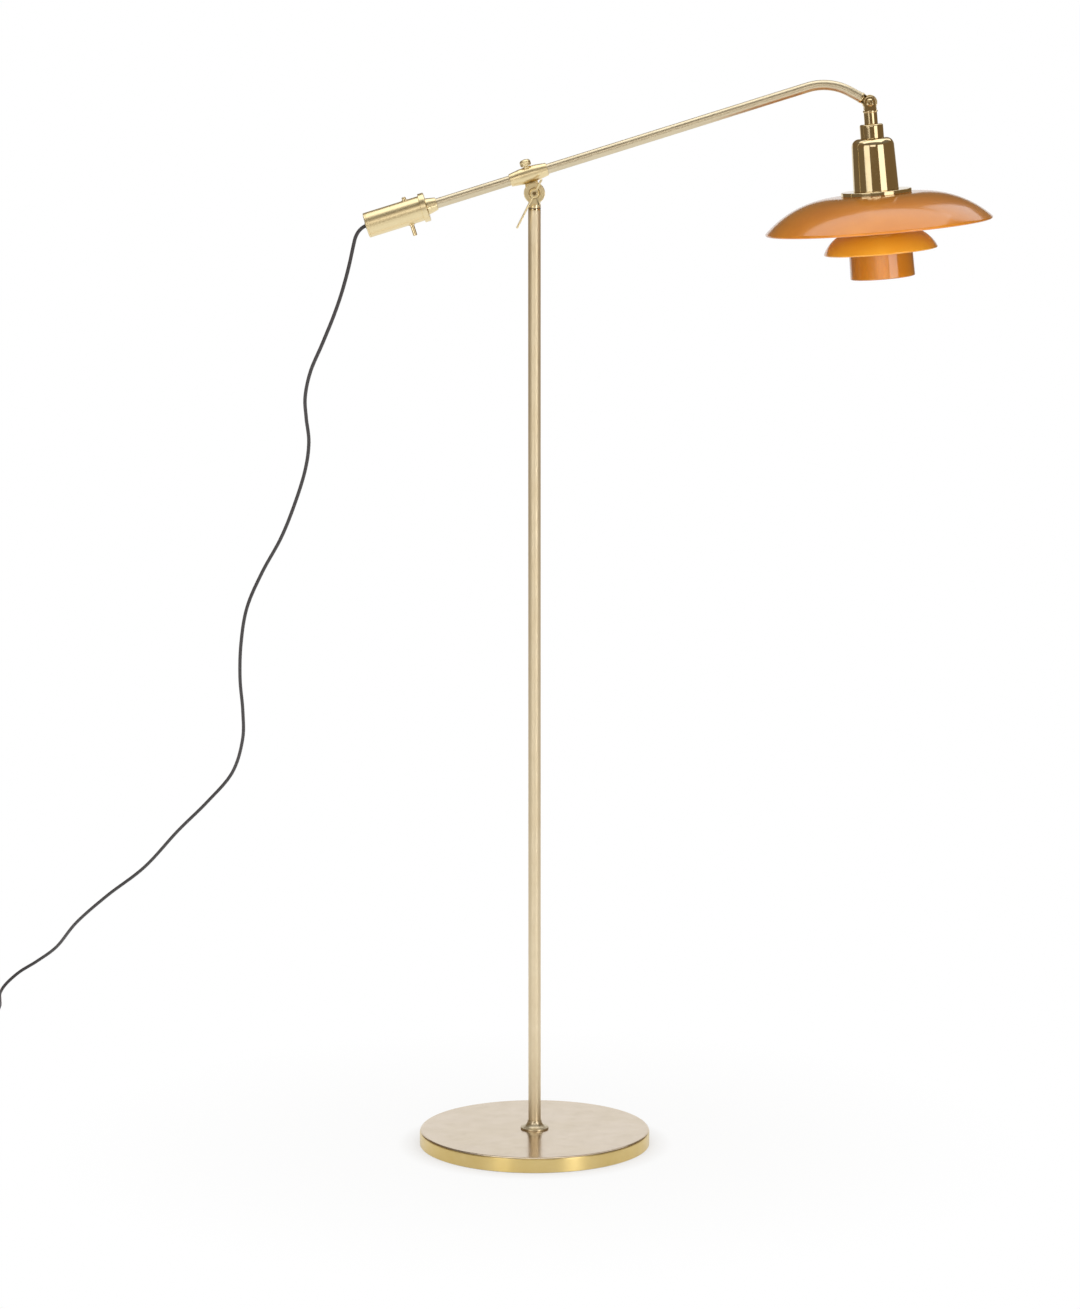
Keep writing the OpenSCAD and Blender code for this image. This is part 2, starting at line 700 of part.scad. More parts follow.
module arm_tip() {
    color(brass) tip_frame() difference() {
        union() {
            translate([arm_tip_run - tip_spigot_l, 0, 0]) rotate([0, 90, 0]) cylinder(r = arm_bore_r - fit_gap, h = tip_spigot_l);
            translate([arm_tip_run, 0, 0]) rotate([0, 90, 0]) cylinder(d = tip_collar_d, h = tip_collar_l);
            translate([arm_tip_run + tip_collar_l, -eye_t / 2, -arm_r])
                cube([ear_clear + eye_r, eye_t, arm_d]);
            translate([tip_reach, eye_t / 2, 0]) rotate([90, 0, 0]) cylinder(r = eye_r, h = eye_t);
        }
        translate([0, 0, 0]) rotate([0, 90, 0]) cylinder(r = flex_bore_r, h = flex_end);
        translate([tip_reach, eye_t, 0]) rotate([90, 0, 0]) cylinder(r = hinge_screw_d / 2 + run_gap, h = 2 * eye_t);
    }
}

module arm_flex() {
    flex_r = flex_d / 2;
    color(black) along_bent_arm(flex_r, flex_r - bend_thin, tail_at + switch_z, flex_end);
}

// Switch housing

module housing_front() {
    edge = 1;
    ring_r = housing_r + front_ring_proud;
    spigot_r = shell_bore_r - fit_gap;
    color(brass) tail_frame() rotate_extrude() difference() {
        polygon([[0, 0], [nose_tip_d / 2, 0], [nose_root_d / 2, ring_z], [ring_r - edge, ring_z],
            [ring_r, ring_z + edge], [ring_r, shell_z], [spigot_r, shell_z], [spigot_r, switch_z], [0, switch_z]]);
        square([arm_r + fit_gap, tube_seat]);
        square([flex_bore_r, switch_z + 1]);
    }
}

module housing_shell() {
    color(brass) tail_frame() difference() {
        translate([0, 0, shell_z]) ring(housing_r, shell_bore_r, housing_l);
        translate([-housing_d, 0, bar_z]) rotate([0, 90, 0]) cylinder(r = bar_d / 2 + seat_gap, h = 2 * housing_d);
    }
}

module housing_rear() {
    edge = 0.8;
    spigot_r = shell_bore_r - fit_gap;
    color(brass) tail_frame() rotate_extrude() difference() {
        polygon([[0, rear_z - spigot_l], [spigot_r, rear_z - spigot_l], [spigot_r, rear_z],
            [housing_r, rear_z], [housing_r, rear_end - edge], [housing_r - edge, rear_end], [0, rear_end]]);
        translate([0, rear_z - spigot_l - 1]) square([bush_r + fit_gap, rear_end]);
    }
}

module cord_bush() {
    lip_t = 2;
    lip_out_r = bush_r + 2;
    bush_z = rear_end - bush_in;
    lip_z = rear_z - spigot_l - lip_t;
    color(black) tail_frame() rotate_extrude() difference() {
        polygon([[0, bush_z], [bush_r, bush_z], [bush_r, lip_z], [lip_out_r, lip_z], [lip_out_r, lip_z + lip_t],
            [bush_r, lip_z + lip_t], [bush_r, rear_end], [bush_tip_r, bush_end], [0, bush_end]]);
        polygon([[0, bush_z - 1], [cord_r + fit_gap, bush_z - 1], [cord_r + fit_gap, mouth_z],
            [mouth_r, bush_end], [mouth_r, bush_end + 1], [0, bush_end + 1]]);
    }
}

module switch_block() {
    color(porcelain_white) tail_frame() difference() {
        translate([0, 0, switch_z]) cylinder(r = shell_bore_r - seat_gap, h = switch_l);
        translate([-housing_d, 0, bar_z]) rotate([0, 90, 0]) cylinder(r = bar_d / 2 + run_gap, h = 2 * housing_d);
    }
}

module switch_terminals() {
    terminal = [6, 4, 6];
    side = shell_bore_r / 2;
    color(brass) tail_frame() for (y = [-side, side])
        translate([-terminal.x / 2, y - terminal.y / 2, switch_end]) cube(terminal);
}

module supply_flex() {
    color(black) tail_frame() translate([0, 0, switch_end]) cylinder(r = cord_r, h = mouth_z - join_gap - switch_end);
}

module push_bar() {
    edge = 0.8;
    bar_r = bar_d / 2;
    low = -housing_r - bar_below;
    high = housing_r + bar_above;
    color(brass) arm_frame() translate([-tail_at - bar_z, 0, arm_rise]) rotate_extrude() polygon([
        [0, low], [bar_r - edge, low], [bar_r, low + edge], [bar_r, high - edge], [bar_r - edge, high], [0, high]]);
}

// Head

module head_fork() {
    slot_w = eye_t + 2 * run_gap;
    flat_end = slot_end + 2;
    flex_top = slot_end + 3;
    color(brass) head_frame() difference() {
        union() {
            intersection() {
                translate([0, 0, -flat_end]) cylinder(r = eye_r, h = flat_end + eye_r);
                translate([-eye_r, -fork_y, -flat_end]) cube([eye_d, 2 * fork_y, flat_end + eye_r]);
                union() {
                    translate([0, fork_y, 0]) rotate([90, 0, 0]) cylinder(r = eye_r, h = 2 * fork_y);
                    translate([-eye_r, -fork_y, -flat_end]) cube([eye_d, 2 * fork_y, flat_end]);
                }
            }
            translate([0, 0, -neck_end]) cylinder(d = neck_d, h = neck_end - flat_end);
            translate([0, 0, -nipple_end]) cylinder(d = nipple_d, h = nipple_end - neck_end);
        }
        translate([-eye_d, -slot_w / 2, -slot_end]) cube([2 * eye_d, slot_w, slot_end + eye_d]);
        translate([0, 2 * fork_y, 0]) rotate([90, 0, 0]) cylinder(r = hinge_screw_d / 2 + fit_gap, h = 4 * fork_y);
        translate([0, 0, -nipple_end - 1]) cylinder(r = flex_bore_r, h = nipple_end + 1 - flex_top);
    }
}

hinge_nut_h = 4;

module hinge_screw() {
    slot_t = 1;
    shank_l = 2 * fork_y + hinge_nut_h + 0.5;
    color(brass) head_frame() translate([0, -fork_y, 0]) rotate([90, 0, 0]) difference() {
        union() {
            cylinder(d = hinge_head_d, h = hinge_head_t);
            translate([0, 0, -shank_l]) cylinder(d = hinge_screw_d, h = shank_l);
        }
        translate([-hinge_head_d, -slot_t / 2, hinge_head_t - slot_t]) cube([2 * hinge_head_d, slot_t, 2 * slot_t]);
    }
}

module hinge_nut() {
    color(brass) head_frame() translate([0, fork_y, 0]) rotate([-90, 0, 0]) difference() {
        cylinder(d = hinge_head_d, h = hinge_nut_h, $fn = 6);
        translate([0, 0, -1]) cylinder(r = hinge_screw_d / 2 + fit_gap, h = hinge_nut_h + 2);
    }
}

module head_flex() {
    flex_top = slot_end + 3;
    color(black) head_frame() translate([0, 0, -holder_bore_end]) cylinder(d = flex_d, h = holder_bore_end - flex_top);
}

module head_collar() {
    edge = 2.5;
    collar_r = collar_d / 2;
    color(brass) head_frame() rotate_extrude() difference() {
        disc_section(collar_r, -collar_end, -neck_end, edge);
        translate([0, -collar_end - 1]) square([nipple_d / 2 + fit_gap, collar_h + 2]);
    }
}

// Half section of the socket house, grown inwards by a wall
module house_section(wall) {
    top_r = house_top_d / 2 - wall;
    foot_r = house_foot_r - wall;
    round_r = max(shoulder_r - wall, 0.5);
    shoulder_z = -collar_end - wall - round_r;
    polygon(concat([[0, -house_end], [foot_r, -house_end]],
        arc_points([top_r - round_r, shoulder_z], round_r, 0, 90), [[0, shoulder_z + round_r]]));
}

module socket_house() {
    color(brass) head_frame() rotate_extrude() difference() {
        house_section(0);
        house_section(house_wall);
        translate([0, -house_end - 1]) square([house_foot_r - house_wall, 1.5]);
        translate([0, -house_end]) square([nipple_d / 2 + fit_gap, house_end]);
    }
}

module house_nut() {
    color(steel) head_frame() translate([0, 0, -holder_z]) difference() {
        cylinder(d = house_nut_d, h = house_nut_h, $fn = 6);
        translate([0, 0, -1]) cylinder(r = nipple_d / 2 + fit_gap, h = house_nut_h + 2);
    }
}

// Lampholder and bulb

module lampholder() {
    thread_r = cap_r + thread_gap + thread_wall;
    color(porcelain_white) head_frame() difference() {
        translate([0, 0, -holder_end]) cylinder(r = holder_r, h = holder_end - holder_z);
        translate([0, 0, -holder_end - 1]) cylinder(r = thread_r + fit_gap, h = holder_end + 1 - cavity_z);
        translate([0, 0, -nipple_end - seat_gap]) cylinder(r = nipple_d / 2 + fit_gap, h = nipple_end + seat_gap);
        translate([0, 0, -holder_bore_end]) cylinder(r = flex_bore_r, h = holder_bore_end - holder_z + 1);
    }
}

module holder_thread() {
    color(brass) head_frame() translate([0, 0, -cap_z - cap_l])
        ring(cap_r + thread_gap + thread_wall, cap_r + thread_gap, cap_l);
}

module holder_contact() {
    color(brass) head_frame() translate([0, 0, -cavity_z - contact_t]) cylinder(r = 4, h = contact_t);
}

module bulb_cap() {
    color(steel) head_frame() difference() {
        union() {
            translate([0, 0, -cap_z - cap_l]) cylinder(r = cap_r, h = cap_l);
            translate([0, 0, -cap_z]) cylinder(r = 5, h = cap_tip_t);
        }
        translate([0, 0, -cap_z - cap_l - 1]) cylinder(r = bulb_neck_r + fit_gap, h = cap_l - 1);
    }
}

// Half section of the bulb, grown inwards by a wall
module bulb_section(wall) {
    neck_r = bulb_neck_r - wall;
    round_r = bulb_r - wall;
    polygon(concat([[0, -bulb_neck_z], [neck_r, -bulb_neck_z], [neck_r, -bulb_neck_z - bulb_neck_l]],
        arc_points([0, -bulb_at], round_r, bulb_round_from, -90, 24)));
}

module bulb_glass() {
    color(opal_white) head_frame() rotate_extrude() difference() {
        bulb_section(0);
        bulb_section(bulb_wall);
        translate([0, -bulb_neck_z - 0.5]) square([bulb_neck_r - bulb_wall, 2]);
    }
}

// Shades and what carries them

module shade_flange() {
    edge = 1;
    centring_h = 5;
    centring_r = house_foot_r - house_wall - thread_gap;
    color(brass) head_frame() rotate_extrude() difference() {
        union() {
            translate([0, 0]) disc_section(flange_d / 2, -flange_end, -house_end, edge);
            translate([0, -house_end]) square([min(centring_r, house_top_d / 2 - house_wall), centring_h]);
            translate([0, -flange_end - throat_l]) square([throat_r, throat_l]);
        }
        translate([0, -flange_end - throat_l - 1]) square([flange_bore_r, flange_t + throat_l + centring_h + 2]);
        translate([0, -flange_end - throat_l - 1]) square([throat_bore_r, throat_l + 1]);
    }
}

module shade_carrier() {
    nut_z = crown_end + carrier_nut_h;
    color(brass) head_frame() difference() {
        rotate_extrude() polygon([[throat_r + fit_gap, -crown_end], [carrier_r, -crown_end],
            [carrier_r, -carrier_end], [strut_in_r, -carrier_end], [strut_in_r, -nut_z], [throat_r + fit_gap, -nut_z]]);
        for (turn = [90, 210, 330]) carrier_screw_at(turn) translate([0, 0, -carrier_r])
            cylinder(r = carrier_screw_r + fit_gap, h = 2 * carrier_r);
    }
}

// Three flat struts with a hook under the neck of each lower shade
module shade_struts() {
    middle_hook = middle_lip + glass_t;
    bottom_hook = bottom_lip + glass_t;
    strut_end = bottom_hook + hook_t;
    color(brass) head_frame() for (turn = [30, 150, 270]) rotate([90, 0, turn])
        linear_extrude(strut_w, center = true) polygon([
            [strut_in_r, -carrier_end], [strut_r, -carrier_end], [strut_r, -middle_hook], [hook_r, -middle_hook],
            [hook_r, -middle_hook - hook_t], [strut_r, -middle_hook - hook_t], [strut_r, -bottom_hook],
            [hook_r, -bottom_hook], [hook_r, -strut_end], [strut_in_r, -strut_end]]);
}

carrier_screw_r = 1.5;

// A radial screw's frame: Z outwards from the carrier's rim
module carrier_screw_at(turn) rotate([0, 0, turn])
    translate([carrier_r, 0, -crown_end - carrier_nut_h / 2]) rotate([0, 90, 0]) children();

module carrier_screws() {
    head_r = 2.6;
    head_t = 2.4;
    shank_l = carrier_r - throat_r - seat_gap;
    color(brass) head_frame() for (turn = [90, 210, 330]) carrier_screw_at(turn) {
        cylinder(r = head_r, h = head_t);
        translate([0, 0, -shank_l]) cylinder(r = carrier_screw_r, h = shank_l);
    }
}

// Half section of a dome that leaves its flat crown level, as a wall of glass
module dome_section(crown_r, crown_z, rim_z, arc_r, wall) {
    intersection() {
        translate([crown_r, crown_z - arc_r]) difference() {
            circle(r = arc_r);
            circle(r = arc_r - wall);
        }
        translate([crown_r, rim_z]) square([arc_r, crown_z - rim_z]);
    }
}

module top_shade() {
    crown_r = top_crown_d / 2;
    hole_r = throat_r + seat_gap;
    color(amber) head_frame() rotate_extrude() {
        translate([hole_r, -crown_end]) square([crown_r - hole_r, top_glass_t]);
        dome_section(crown_r, -flange_end, -top_rim, top_arc_r, top_glass_t);
    }
}

module middle_shade() {
    color(amber) head_frame() rotate_extrude() {
        translate([neck_hole_d / 2, -middle_lip - glass_t]) square([lip_r - neck_hole_d / 2, glass_t]);
        dome_section(lip_r, -middle_lip, -middle_rim, middle_arc_r, glass_t);
    }
}

module bottom_shade() {
    rim_r = bottom_d / 2;
    wall_r = rim_r - bottom_flare / 2;
    crown_r = wall_r - bottom_arc_r;
    wall_z = -bottom_lip - bottom_arc_r;
    color(amber) head_frame() rotate_extrude() {
        polygon(concat(
            [[neck_hole_d / 2, -bottom_lip]],
            arc_points([crown_r, wall_z], bottom_arc_r, 90, 0),
            [[rim_r, -bottom_rim], [rim_r - glass_t, -bottom_rim]],
            arc_points([crown_r, wall_z], bottom_arc_r - glass_t, 0, 90),
            [[neck_hole_d / 2, -bottom_lip - glass_t]]));
    }
}

// Supply cord

// The coil spirals in and out again and climbs a layer in the half turn where it reverses
function coil_point(t) =
    let (
        r = coil_r - coil_rise * min(t, coil_turns - t),
        climb = min(max((t - coil_turns / 2) * 2 + 0.5, 0), 1),
        z = coil_z + coil_rise * climb * climb * (3 - 2 * climb)
    )
    [coil_at.x + r * cos(360 * t), coil_at.y - r * sin(360 * t), z];

coil_start = coil_point(0) + [0, cord_d, 0];
coil_finish = coil_point(coil_turns) + [0, cord_d, 0];
coil_route = concat(
    [coil_start],
    [for (i = [0 : coil_turns * coil_rings]) coil_point(i / coil_rings)],
    [coil_finish]);
hang_route = smooth_route(
    concat([cord_exit, cord_exit - arm_dir * mouth_l], hang_points,
        [coil_start + [0, 3 * cord_d, 0], coil_start + [0, join_gap, 0]]), hang_steps);

// Least distance between points of the coil that lie more than half a turn apart, less the cord
coil_clear = min([for (i = [0 : len(coil_route) - 1], j = [i + coil_rings / 2 : 1 : len(coil_route) - 1])
    norm(coil_route[i] - coil_route[j])]) - cord_d;
echo("least gap between the coil's turns", coil_clear);
echo("cord lengths: hanging, coil, lead", length_of(hang_route), length_of(coil_route), lead_l);

module cord_hang() {
    color(black) tube_along(hang_route, cord_r, hang_sides);
}

module cord_coil() {
    color(black) tube_along(coil_route, cord_r, coil_sides);
}

module coil_tie() {
    inner_low = coil_low_r - cord_r - tie_gap;
    inner_high = coil_r + cord_r + tie_gap;
    inner_h = coil_rise + cord_d + 2 * tie_gap;
    color(black) translate([coil_at.x, coil_at.y, 0]) rotate([0, 0, -90]) difference() {
        translate([inner_low - tie_t, -tie_w / 2, floor_gap])
            cube([inner_high - inner_low + 2 * tie_t, tie_w, inner_h + 2 * tie_t]);
        translate([inner_low, -tie_w, floor_gap + tie_t])
            cube([inner_high - inner_low, 2 * tie_w, inner_h]);
    }
}

// The plug's frame: X along the plug from the end of the straight lead
module plug_frame() translate(coil_finish + [0, lead_l, 0]) rotate([0, 0, 90]) children();

module cord_lead() {
    color(black) translate(coil_finish) rotate([-90, 0, 0]) cylinder(r = cord_r, h = lead_l);
}

module plug_body() {
    shoulder = plug_l / 4;
    color(black) plug_frame() {
        rotate([0, 90, 0]) cylinder(r1 = boot_tip_r, r2 = boot_root_r, h = boot_l);
        translate([0, 0, -plug_t / 2]) linear_extrude(plug_t) polygon([
            [boot_l, -boot_root_r], [boot_l + shoulder, 2 - plug_w / 2], [boot_l + plug_l - 2, -plug_w / 2],
            [boot_l + plug_l, 2 - plug_w / 2], [boot_l + plug_l, plug_w / 2 - 2],
            [boot_l + plug_l - 2, plug_w / 2], [boot_l + shoulder, plug_w / 2 - 2], [boot_l, boot_root_r]]);
    }
}

module plug_pins() {
    color(brass) plug_frame() for (y = [-pin_space / 2, pin_space / 2])
        translate([boot_l + plug_l, y, 0]) rotate([0, 90, 0]) {
            cylinder(r = pin_r, h = pin_l - 1);
            translate([0, 0, pin_l - 1]) cylinder(r1 = pin_r, r2 = pin_r - 1, h = 1);
        }
}

base_shell();
base_weight();
base_felt();
base_washer();
base_nut();
stem_stud();
stem_flange();
stem_tube();
swivel_bush();
thrust_washer();
swivel_head();
swivel_retainer();
tilt_bolt();
friction_washer();
nut_washer();
wing_nut();
arm_sleeve();
clamp_pad();
thumb_screw();
arm_tube();
arm_tip();
arm_flex();
housing_front();
housing_shell();
housing_rear();
cord_bush();
switch_block();
switch_terminals();
supply_flex();
push_bar();
head_fork();
hinge_screw();
hinge_nut();
head_flex();
head_collar();
socket_house();
house_nut();
lampholder();
holder_thread();
holder_contact();
bulb_cap();
bulb_glass();
shade_flange();
shade_carrier();
shade_struts();
carrier_screws();
top_shade();
middle_shade();
bottom_shade();
cord_hang();
cord_coil();
coil_tie();
cord_lead();
plug_body();
plug_pins();
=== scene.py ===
import math

import bmesh
import bpy
import numpy as np
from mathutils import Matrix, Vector


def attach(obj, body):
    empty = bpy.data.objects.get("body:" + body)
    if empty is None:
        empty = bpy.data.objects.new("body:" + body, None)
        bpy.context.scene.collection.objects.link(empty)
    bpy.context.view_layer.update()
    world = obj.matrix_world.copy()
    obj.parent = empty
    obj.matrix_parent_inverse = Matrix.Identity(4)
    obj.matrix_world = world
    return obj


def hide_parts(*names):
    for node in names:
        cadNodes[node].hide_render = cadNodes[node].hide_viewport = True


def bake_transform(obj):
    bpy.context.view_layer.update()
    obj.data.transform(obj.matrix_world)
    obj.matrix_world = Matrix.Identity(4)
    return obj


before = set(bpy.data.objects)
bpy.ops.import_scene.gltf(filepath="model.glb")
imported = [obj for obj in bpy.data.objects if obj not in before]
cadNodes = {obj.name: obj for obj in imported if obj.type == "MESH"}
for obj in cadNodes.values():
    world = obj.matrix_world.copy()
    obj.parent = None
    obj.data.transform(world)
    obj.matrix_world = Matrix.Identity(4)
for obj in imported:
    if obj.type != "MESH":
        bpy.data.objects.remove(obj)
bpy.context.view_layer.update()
print("frame:", len(cadNodes), "CAD nodes")

# Camera at the photograph's place: lens from the focal length in photo pixels
photo = {"long": 1309, "focal": 4549.0, "place": (0.0, -5.4, 1.434), "down": 8.74, "turn": -0.07,
         "sensor": 36.0, "far": 60.0}
camData = bpy.data.cameras.new("photoCamera")
camData.sensor_width = photo["sensor"]
camData.lens = photo["focal"] * camData.sensor_width / photo["long"]
camData.clip_end = photo["far"]
camera = bpy.data.objects.new("photoCamera", camData)
camera.location = photo["place"]
camera.rotation_euler = (math.radians(90 - photo["down"]), 0.0, math.radians(photo["turn"]))
bpy.context.scene.collection.objects.link(camera)
bpy.context.scene.camera = camera
print("camera: lens", round(camData.lens, 1), "mm")


def unit(v):  # each vector divided by its own length
    v = np.asarray(v, float)
    return v / np.linalg.norm(v, axis=-1, keepdims=True)


# The lamp's own axes, from the same values as the part's source
lamp = {"pivot": (0.0, 0.0, 1.156), "armAngle": 17.3, "armRise": 0.0225, "armFront": 0.344,
        "bendRadius": 0.065, "bendAngle": 45.5, "tipReach": 0.0265, "headLean": 5.0, "tailAt": 0.114}


def slope(degrees):  # the direction in the XZ plane at that angle above +X
    a = math.radians(degrees)
    return np.array([math.cos(a), 0.0, math.sin(a)])


def axes(origin, x, z):  # a frame from its X and Z; Y is Z cross X
    return {"origin": np.asarray(origin, float), "turn": np.stack([x, np.cross(z, x), z], 1)}


def place(points, spot):  # points of a frame brought to the lamp's frame
    return points @ spot["turn"].T + spot["origin"]


armDir, armUp = slope(lamp["armAngle"]), slope(lamp["armAngle"] + 90)
tipAngle = lamp["armAngle"] - lamp["bendAngle"]
tipDir, tipUp = slope(tipAngle), slope(tipAngle + 90)
bend = math.radians(lamp["bendAngle"])
pivot = np.array(lamp["pivot"])
armAxis = pivot + armUp * lamp["armRise"]
bendStart = armAxis + armDir * lamp["armFront"]
bendEnd = bendStart + lamp["bendRadius"] * (armDir * math.sin(bend) - armUp * (1 - math.cos(bend)))
hinge = bendEnd + tipDir * lamp["tipReach"]
tail = armAxis - armDir * lamp["tailAt"]
headX, headUp = slope(lamp["headLean"]), slope(lamp["headLean"] + 90)
ahead = np.array([0.0, -1.0, 0.0])  # towards the camera
worldX, worldY, worldZ = np.eye(3)

floorSpot = axes((0, 0, 0), worldX, worldZ)
sleeveSpot = axes(armAxis, -armUp, armDir)  # Z forwards along the arm
tailSpot = axes(tail, armUp, -armDir)  # Z back along the arm
screwSpot = axes(armAxis, armDir, armUp)  # Z square to the arm
tiltSpot = axes(pivot, worldX, ahead)  # Z from the pivot to the front
tipSpot = axes(bendEnd, -tipUp, tipDir)  # Z along the arm's tip
headSpot = axes(hinge, headX, headUp)  # Z up along the head


# A section line: each corner (across, along, round) becomes an arc of that radius,
# with one more point a little way before and after it, so that the shading stays inside the arc
def section(corners, closed=False, arcSteps=6, beside=0.0003):
    arcMost, besideMost = 0.46, 0.49  # the most of a side that an arc, and the point beside it, can take up
    spots = np.array([c[:2] for c in corners], float)
    count = len(corners)
    line = []
    for i, corner in enumerate(corners):
        here = spots[i]
        turnBy = corner[2] if len(corner) > 2 else 0.0
        if turnBy <= 0 or (not closed and i in (0, count - 1)):
            line.append(here[None])
            continue
        back, on = spots[i - 1] - here, spots[(i + 1) % count] - here
        backLength, onLength = np.linalg.norm(back), np.linalg.norm(on)
        back, on = back / backLength, on / onLength
        half = 0.5 * math.acos(float(np.clip(back @ on, -1, 1)))
        reach = min(turnBy / math.tan(half), arcMost * backLength, arcMost * onLength)
        radius = reach * math.tan(half)
        middle = here + (back + on) / np.linalg.norm(back + on) * radius / math.sin(half)
        first, last = here + back * reach - middle, here + on * reach - middle
        share = np.linspace(0, 1, arcSteps + 1)[:, None]
        sweep = math.pi - 2 * half
        arc = middle + (np.sin((1 - share) * sweep) * first + np.sin(share * sweep) * last) / math.sin(sweep)
        lead = here + back * min(reach + beside, besideMost * backLength)
        follow = here + on * min(reach + beside, besideMost * onLength)
        line.append(np.concatenate([lead[None], arc, follow[None]]))
    return np.concatenate(line)


def arcLine(middle, radius, start, stop, steps):  # points on a circle from one angle to another, in degrees
    a = np.radians(np.linspace(start, stop, steps + 1))
    return np.stack([middle[0] + radius * np.cos(a), middle[1] + radius * np.sin(a)], 1)


# A rod's section, from the axis out and back to the axis, with its two corners rounded
def rodLine(radius, low, high, lowEdge=0.0, highEdge=0.0):
    return section([(0, low), (radius, low, lowEdge), (radius, high, highEdge), (0, high)])


# A section line whose corners name a piece's own values; a minus sign in front turns the value round
def named(values, corners, **options):
    def size(word):
        if not isinstance(word, str):
            return word
        return -values[word[1:]] if word[0] == "-" else values[word]
    return section([tuple(size(word) for word in corner) for corner in corners], **options)


def lengths(line):  # distance run along a line of points, from 0
    return np.concatenate([[0.0], np.cumsum(np.linalg.norm(np.diff(line, axis=0), axis=1))])


# A turned surface: the section (r, z) carried round Z; ripple changes r by row and angle
def turned(line, steps, closed=False, ripple=None):
    angle = np.linspace(0, 2 * np.pi, steps, endpoint=False)
    r = np.repeat(line[:, :1], steps, 1)
    if ripple is not None:
        r = r + ripple(line, angle)
    points = np.stack([r * np.cos(angle), r * np.sin(angle), np.repeat(line[:, 1:], steps, 1)], -1)
    ring = np.concatenate([line, line[:1]]) if closed else line
    around = np.linspace(0, 2 * np.pi, steps + 1) * line[:, 0].max()
    return {"points": points, "wrapRows": closed, "u": around, "v": lengths(ring)}


# A plate: an outline (closed, star-shaped round its middle) from low to high,
# both edges rounded by pulling the outline in along its own normals
def plate(outline, low, high, edge, middle=(0.0, 0.0), steps=5):
    along = np.roll(outline, -1, 0) - np.roll(outline, 1, 0)
    outward = unit(np.stack([along[:, 1], -along[:, 0]], 1))
    a = np.linspace(0, np.pi / 2, steps + 1)
    near, far = 1.3 * edge, 2.5 * edge  # two more rings beside each rounded edge
    pull = np.concatenate([[far, near], edge * (1 - np.sin(a)), [0.0, 0.0],
                           edge * (1 - np.cos(a)), [near, far]])
    lift = np.concatenate([[low, low], low + edge * (1 - np.cos(a)), [low + near, high - near],
                           high - edge + edge * np.sin(a), [high, high]])
    flat = outline[None] - pull[:, None, None] * outward[None]
    points = np.concatenate([flat, np.repeat(lift[:, None, None], len(outline), 1)], -1)
    ends = np.array([[middle[0], middle[1], low], [middle[0], middle[1], high]])
    caps = np.repeat(ends[:, None], len(outline), 1)
    points = np.concatenate([caps[:1], points, caps[1:]])
    return {"points": points, "wrapRows": False,
            "u": lengths(np.concatenate([outline, outline[:1]])), "v": lengths(points[:, 0])}


# Circles of radius 1: at each place on a path, across times the cosine plus up times the sine of the angle
def circles(across, up, sides):
    angle = np.linspace(0, 2 * np.pi, sides, endpoint=False)
    return across[:, None] * np.cos(angle)[None, :, None] + up[:, None] * np.sin(angle)[None, :, None]


# A round tube: circles of radius r square to the path, closed at both ends on the path itself
def tube(path, across, up, r, sides):
    points = path[:, None] + r * circles(across, up, sides)
    ends = np.repeat(path[[0, -1], None], sides, 1)
    run = lengths(path)
    return {"points": np.concatenate([ends[:1], points, ends[1:]]), "wrapRows": False,
            "u": np.linspace(0, 2 * np.pi * r, sides + 1), "v": np.concatenate([run[:1], run, run[-1:]])}


# A loft along X: at each place a rounded box |y/w|^n + |z/h|^n = 1, closed at both ends
def loft(along, halfWide, halfHigh, power, steps=64):
    a = np.linspace(0, 2 * np.pi, steps, endpoint=False)
    e = 2.0 / power[:, None]
    y = halfWide[:, None] * np.sign(np.cos(a)) * np.abs(np.cos(a)) ** e
    z = halfHigh[:, None] * np.sign(np.sin(a)) * np.abs(np.sin(a)) ** e
    points = np.stack([np.repeat(along[:, None], steps, 1), y, z], -1)
    ends = np.stack([along[[0, -1]], np.zeros(2), np.zeros(2)], 1)
    caps = np.repeat(ends[:, None], steps, 1)
    points = np.concatenate([caps[:1], points, caps[1:]])
    return {"points": points, "wrapRows": False,
            "u": np.linspace(0, 2 * np.pi * halfWide.max(), steps + 1), "v": lengths(points[:, 0])}


# Faces of a grid whose columns run round, and for each corner of each face its column and row for the UV map
def gridFaces(rows, cols, wrapRows):
    rowAt = np.arange(rows if wrapRows else rows - 1)
    a, b = (x.ravel() for x in np.meshgrid(rowAt, np.arange(cols), indexing="ij"))
    nextA, nextB = (a + 1) % rows, (b + 1) % cols
    faces = np.stack([a * cols + b, a * cols + nextB, nextA * cols + nextB, nextA * cols + b], 1)
    colStep = np.stack([b, b + 1, b + 1, b], 1)
    rowStep = np.stack([a, a, a + 1, a + 1], 1)
    return faces, colStep, rowStep


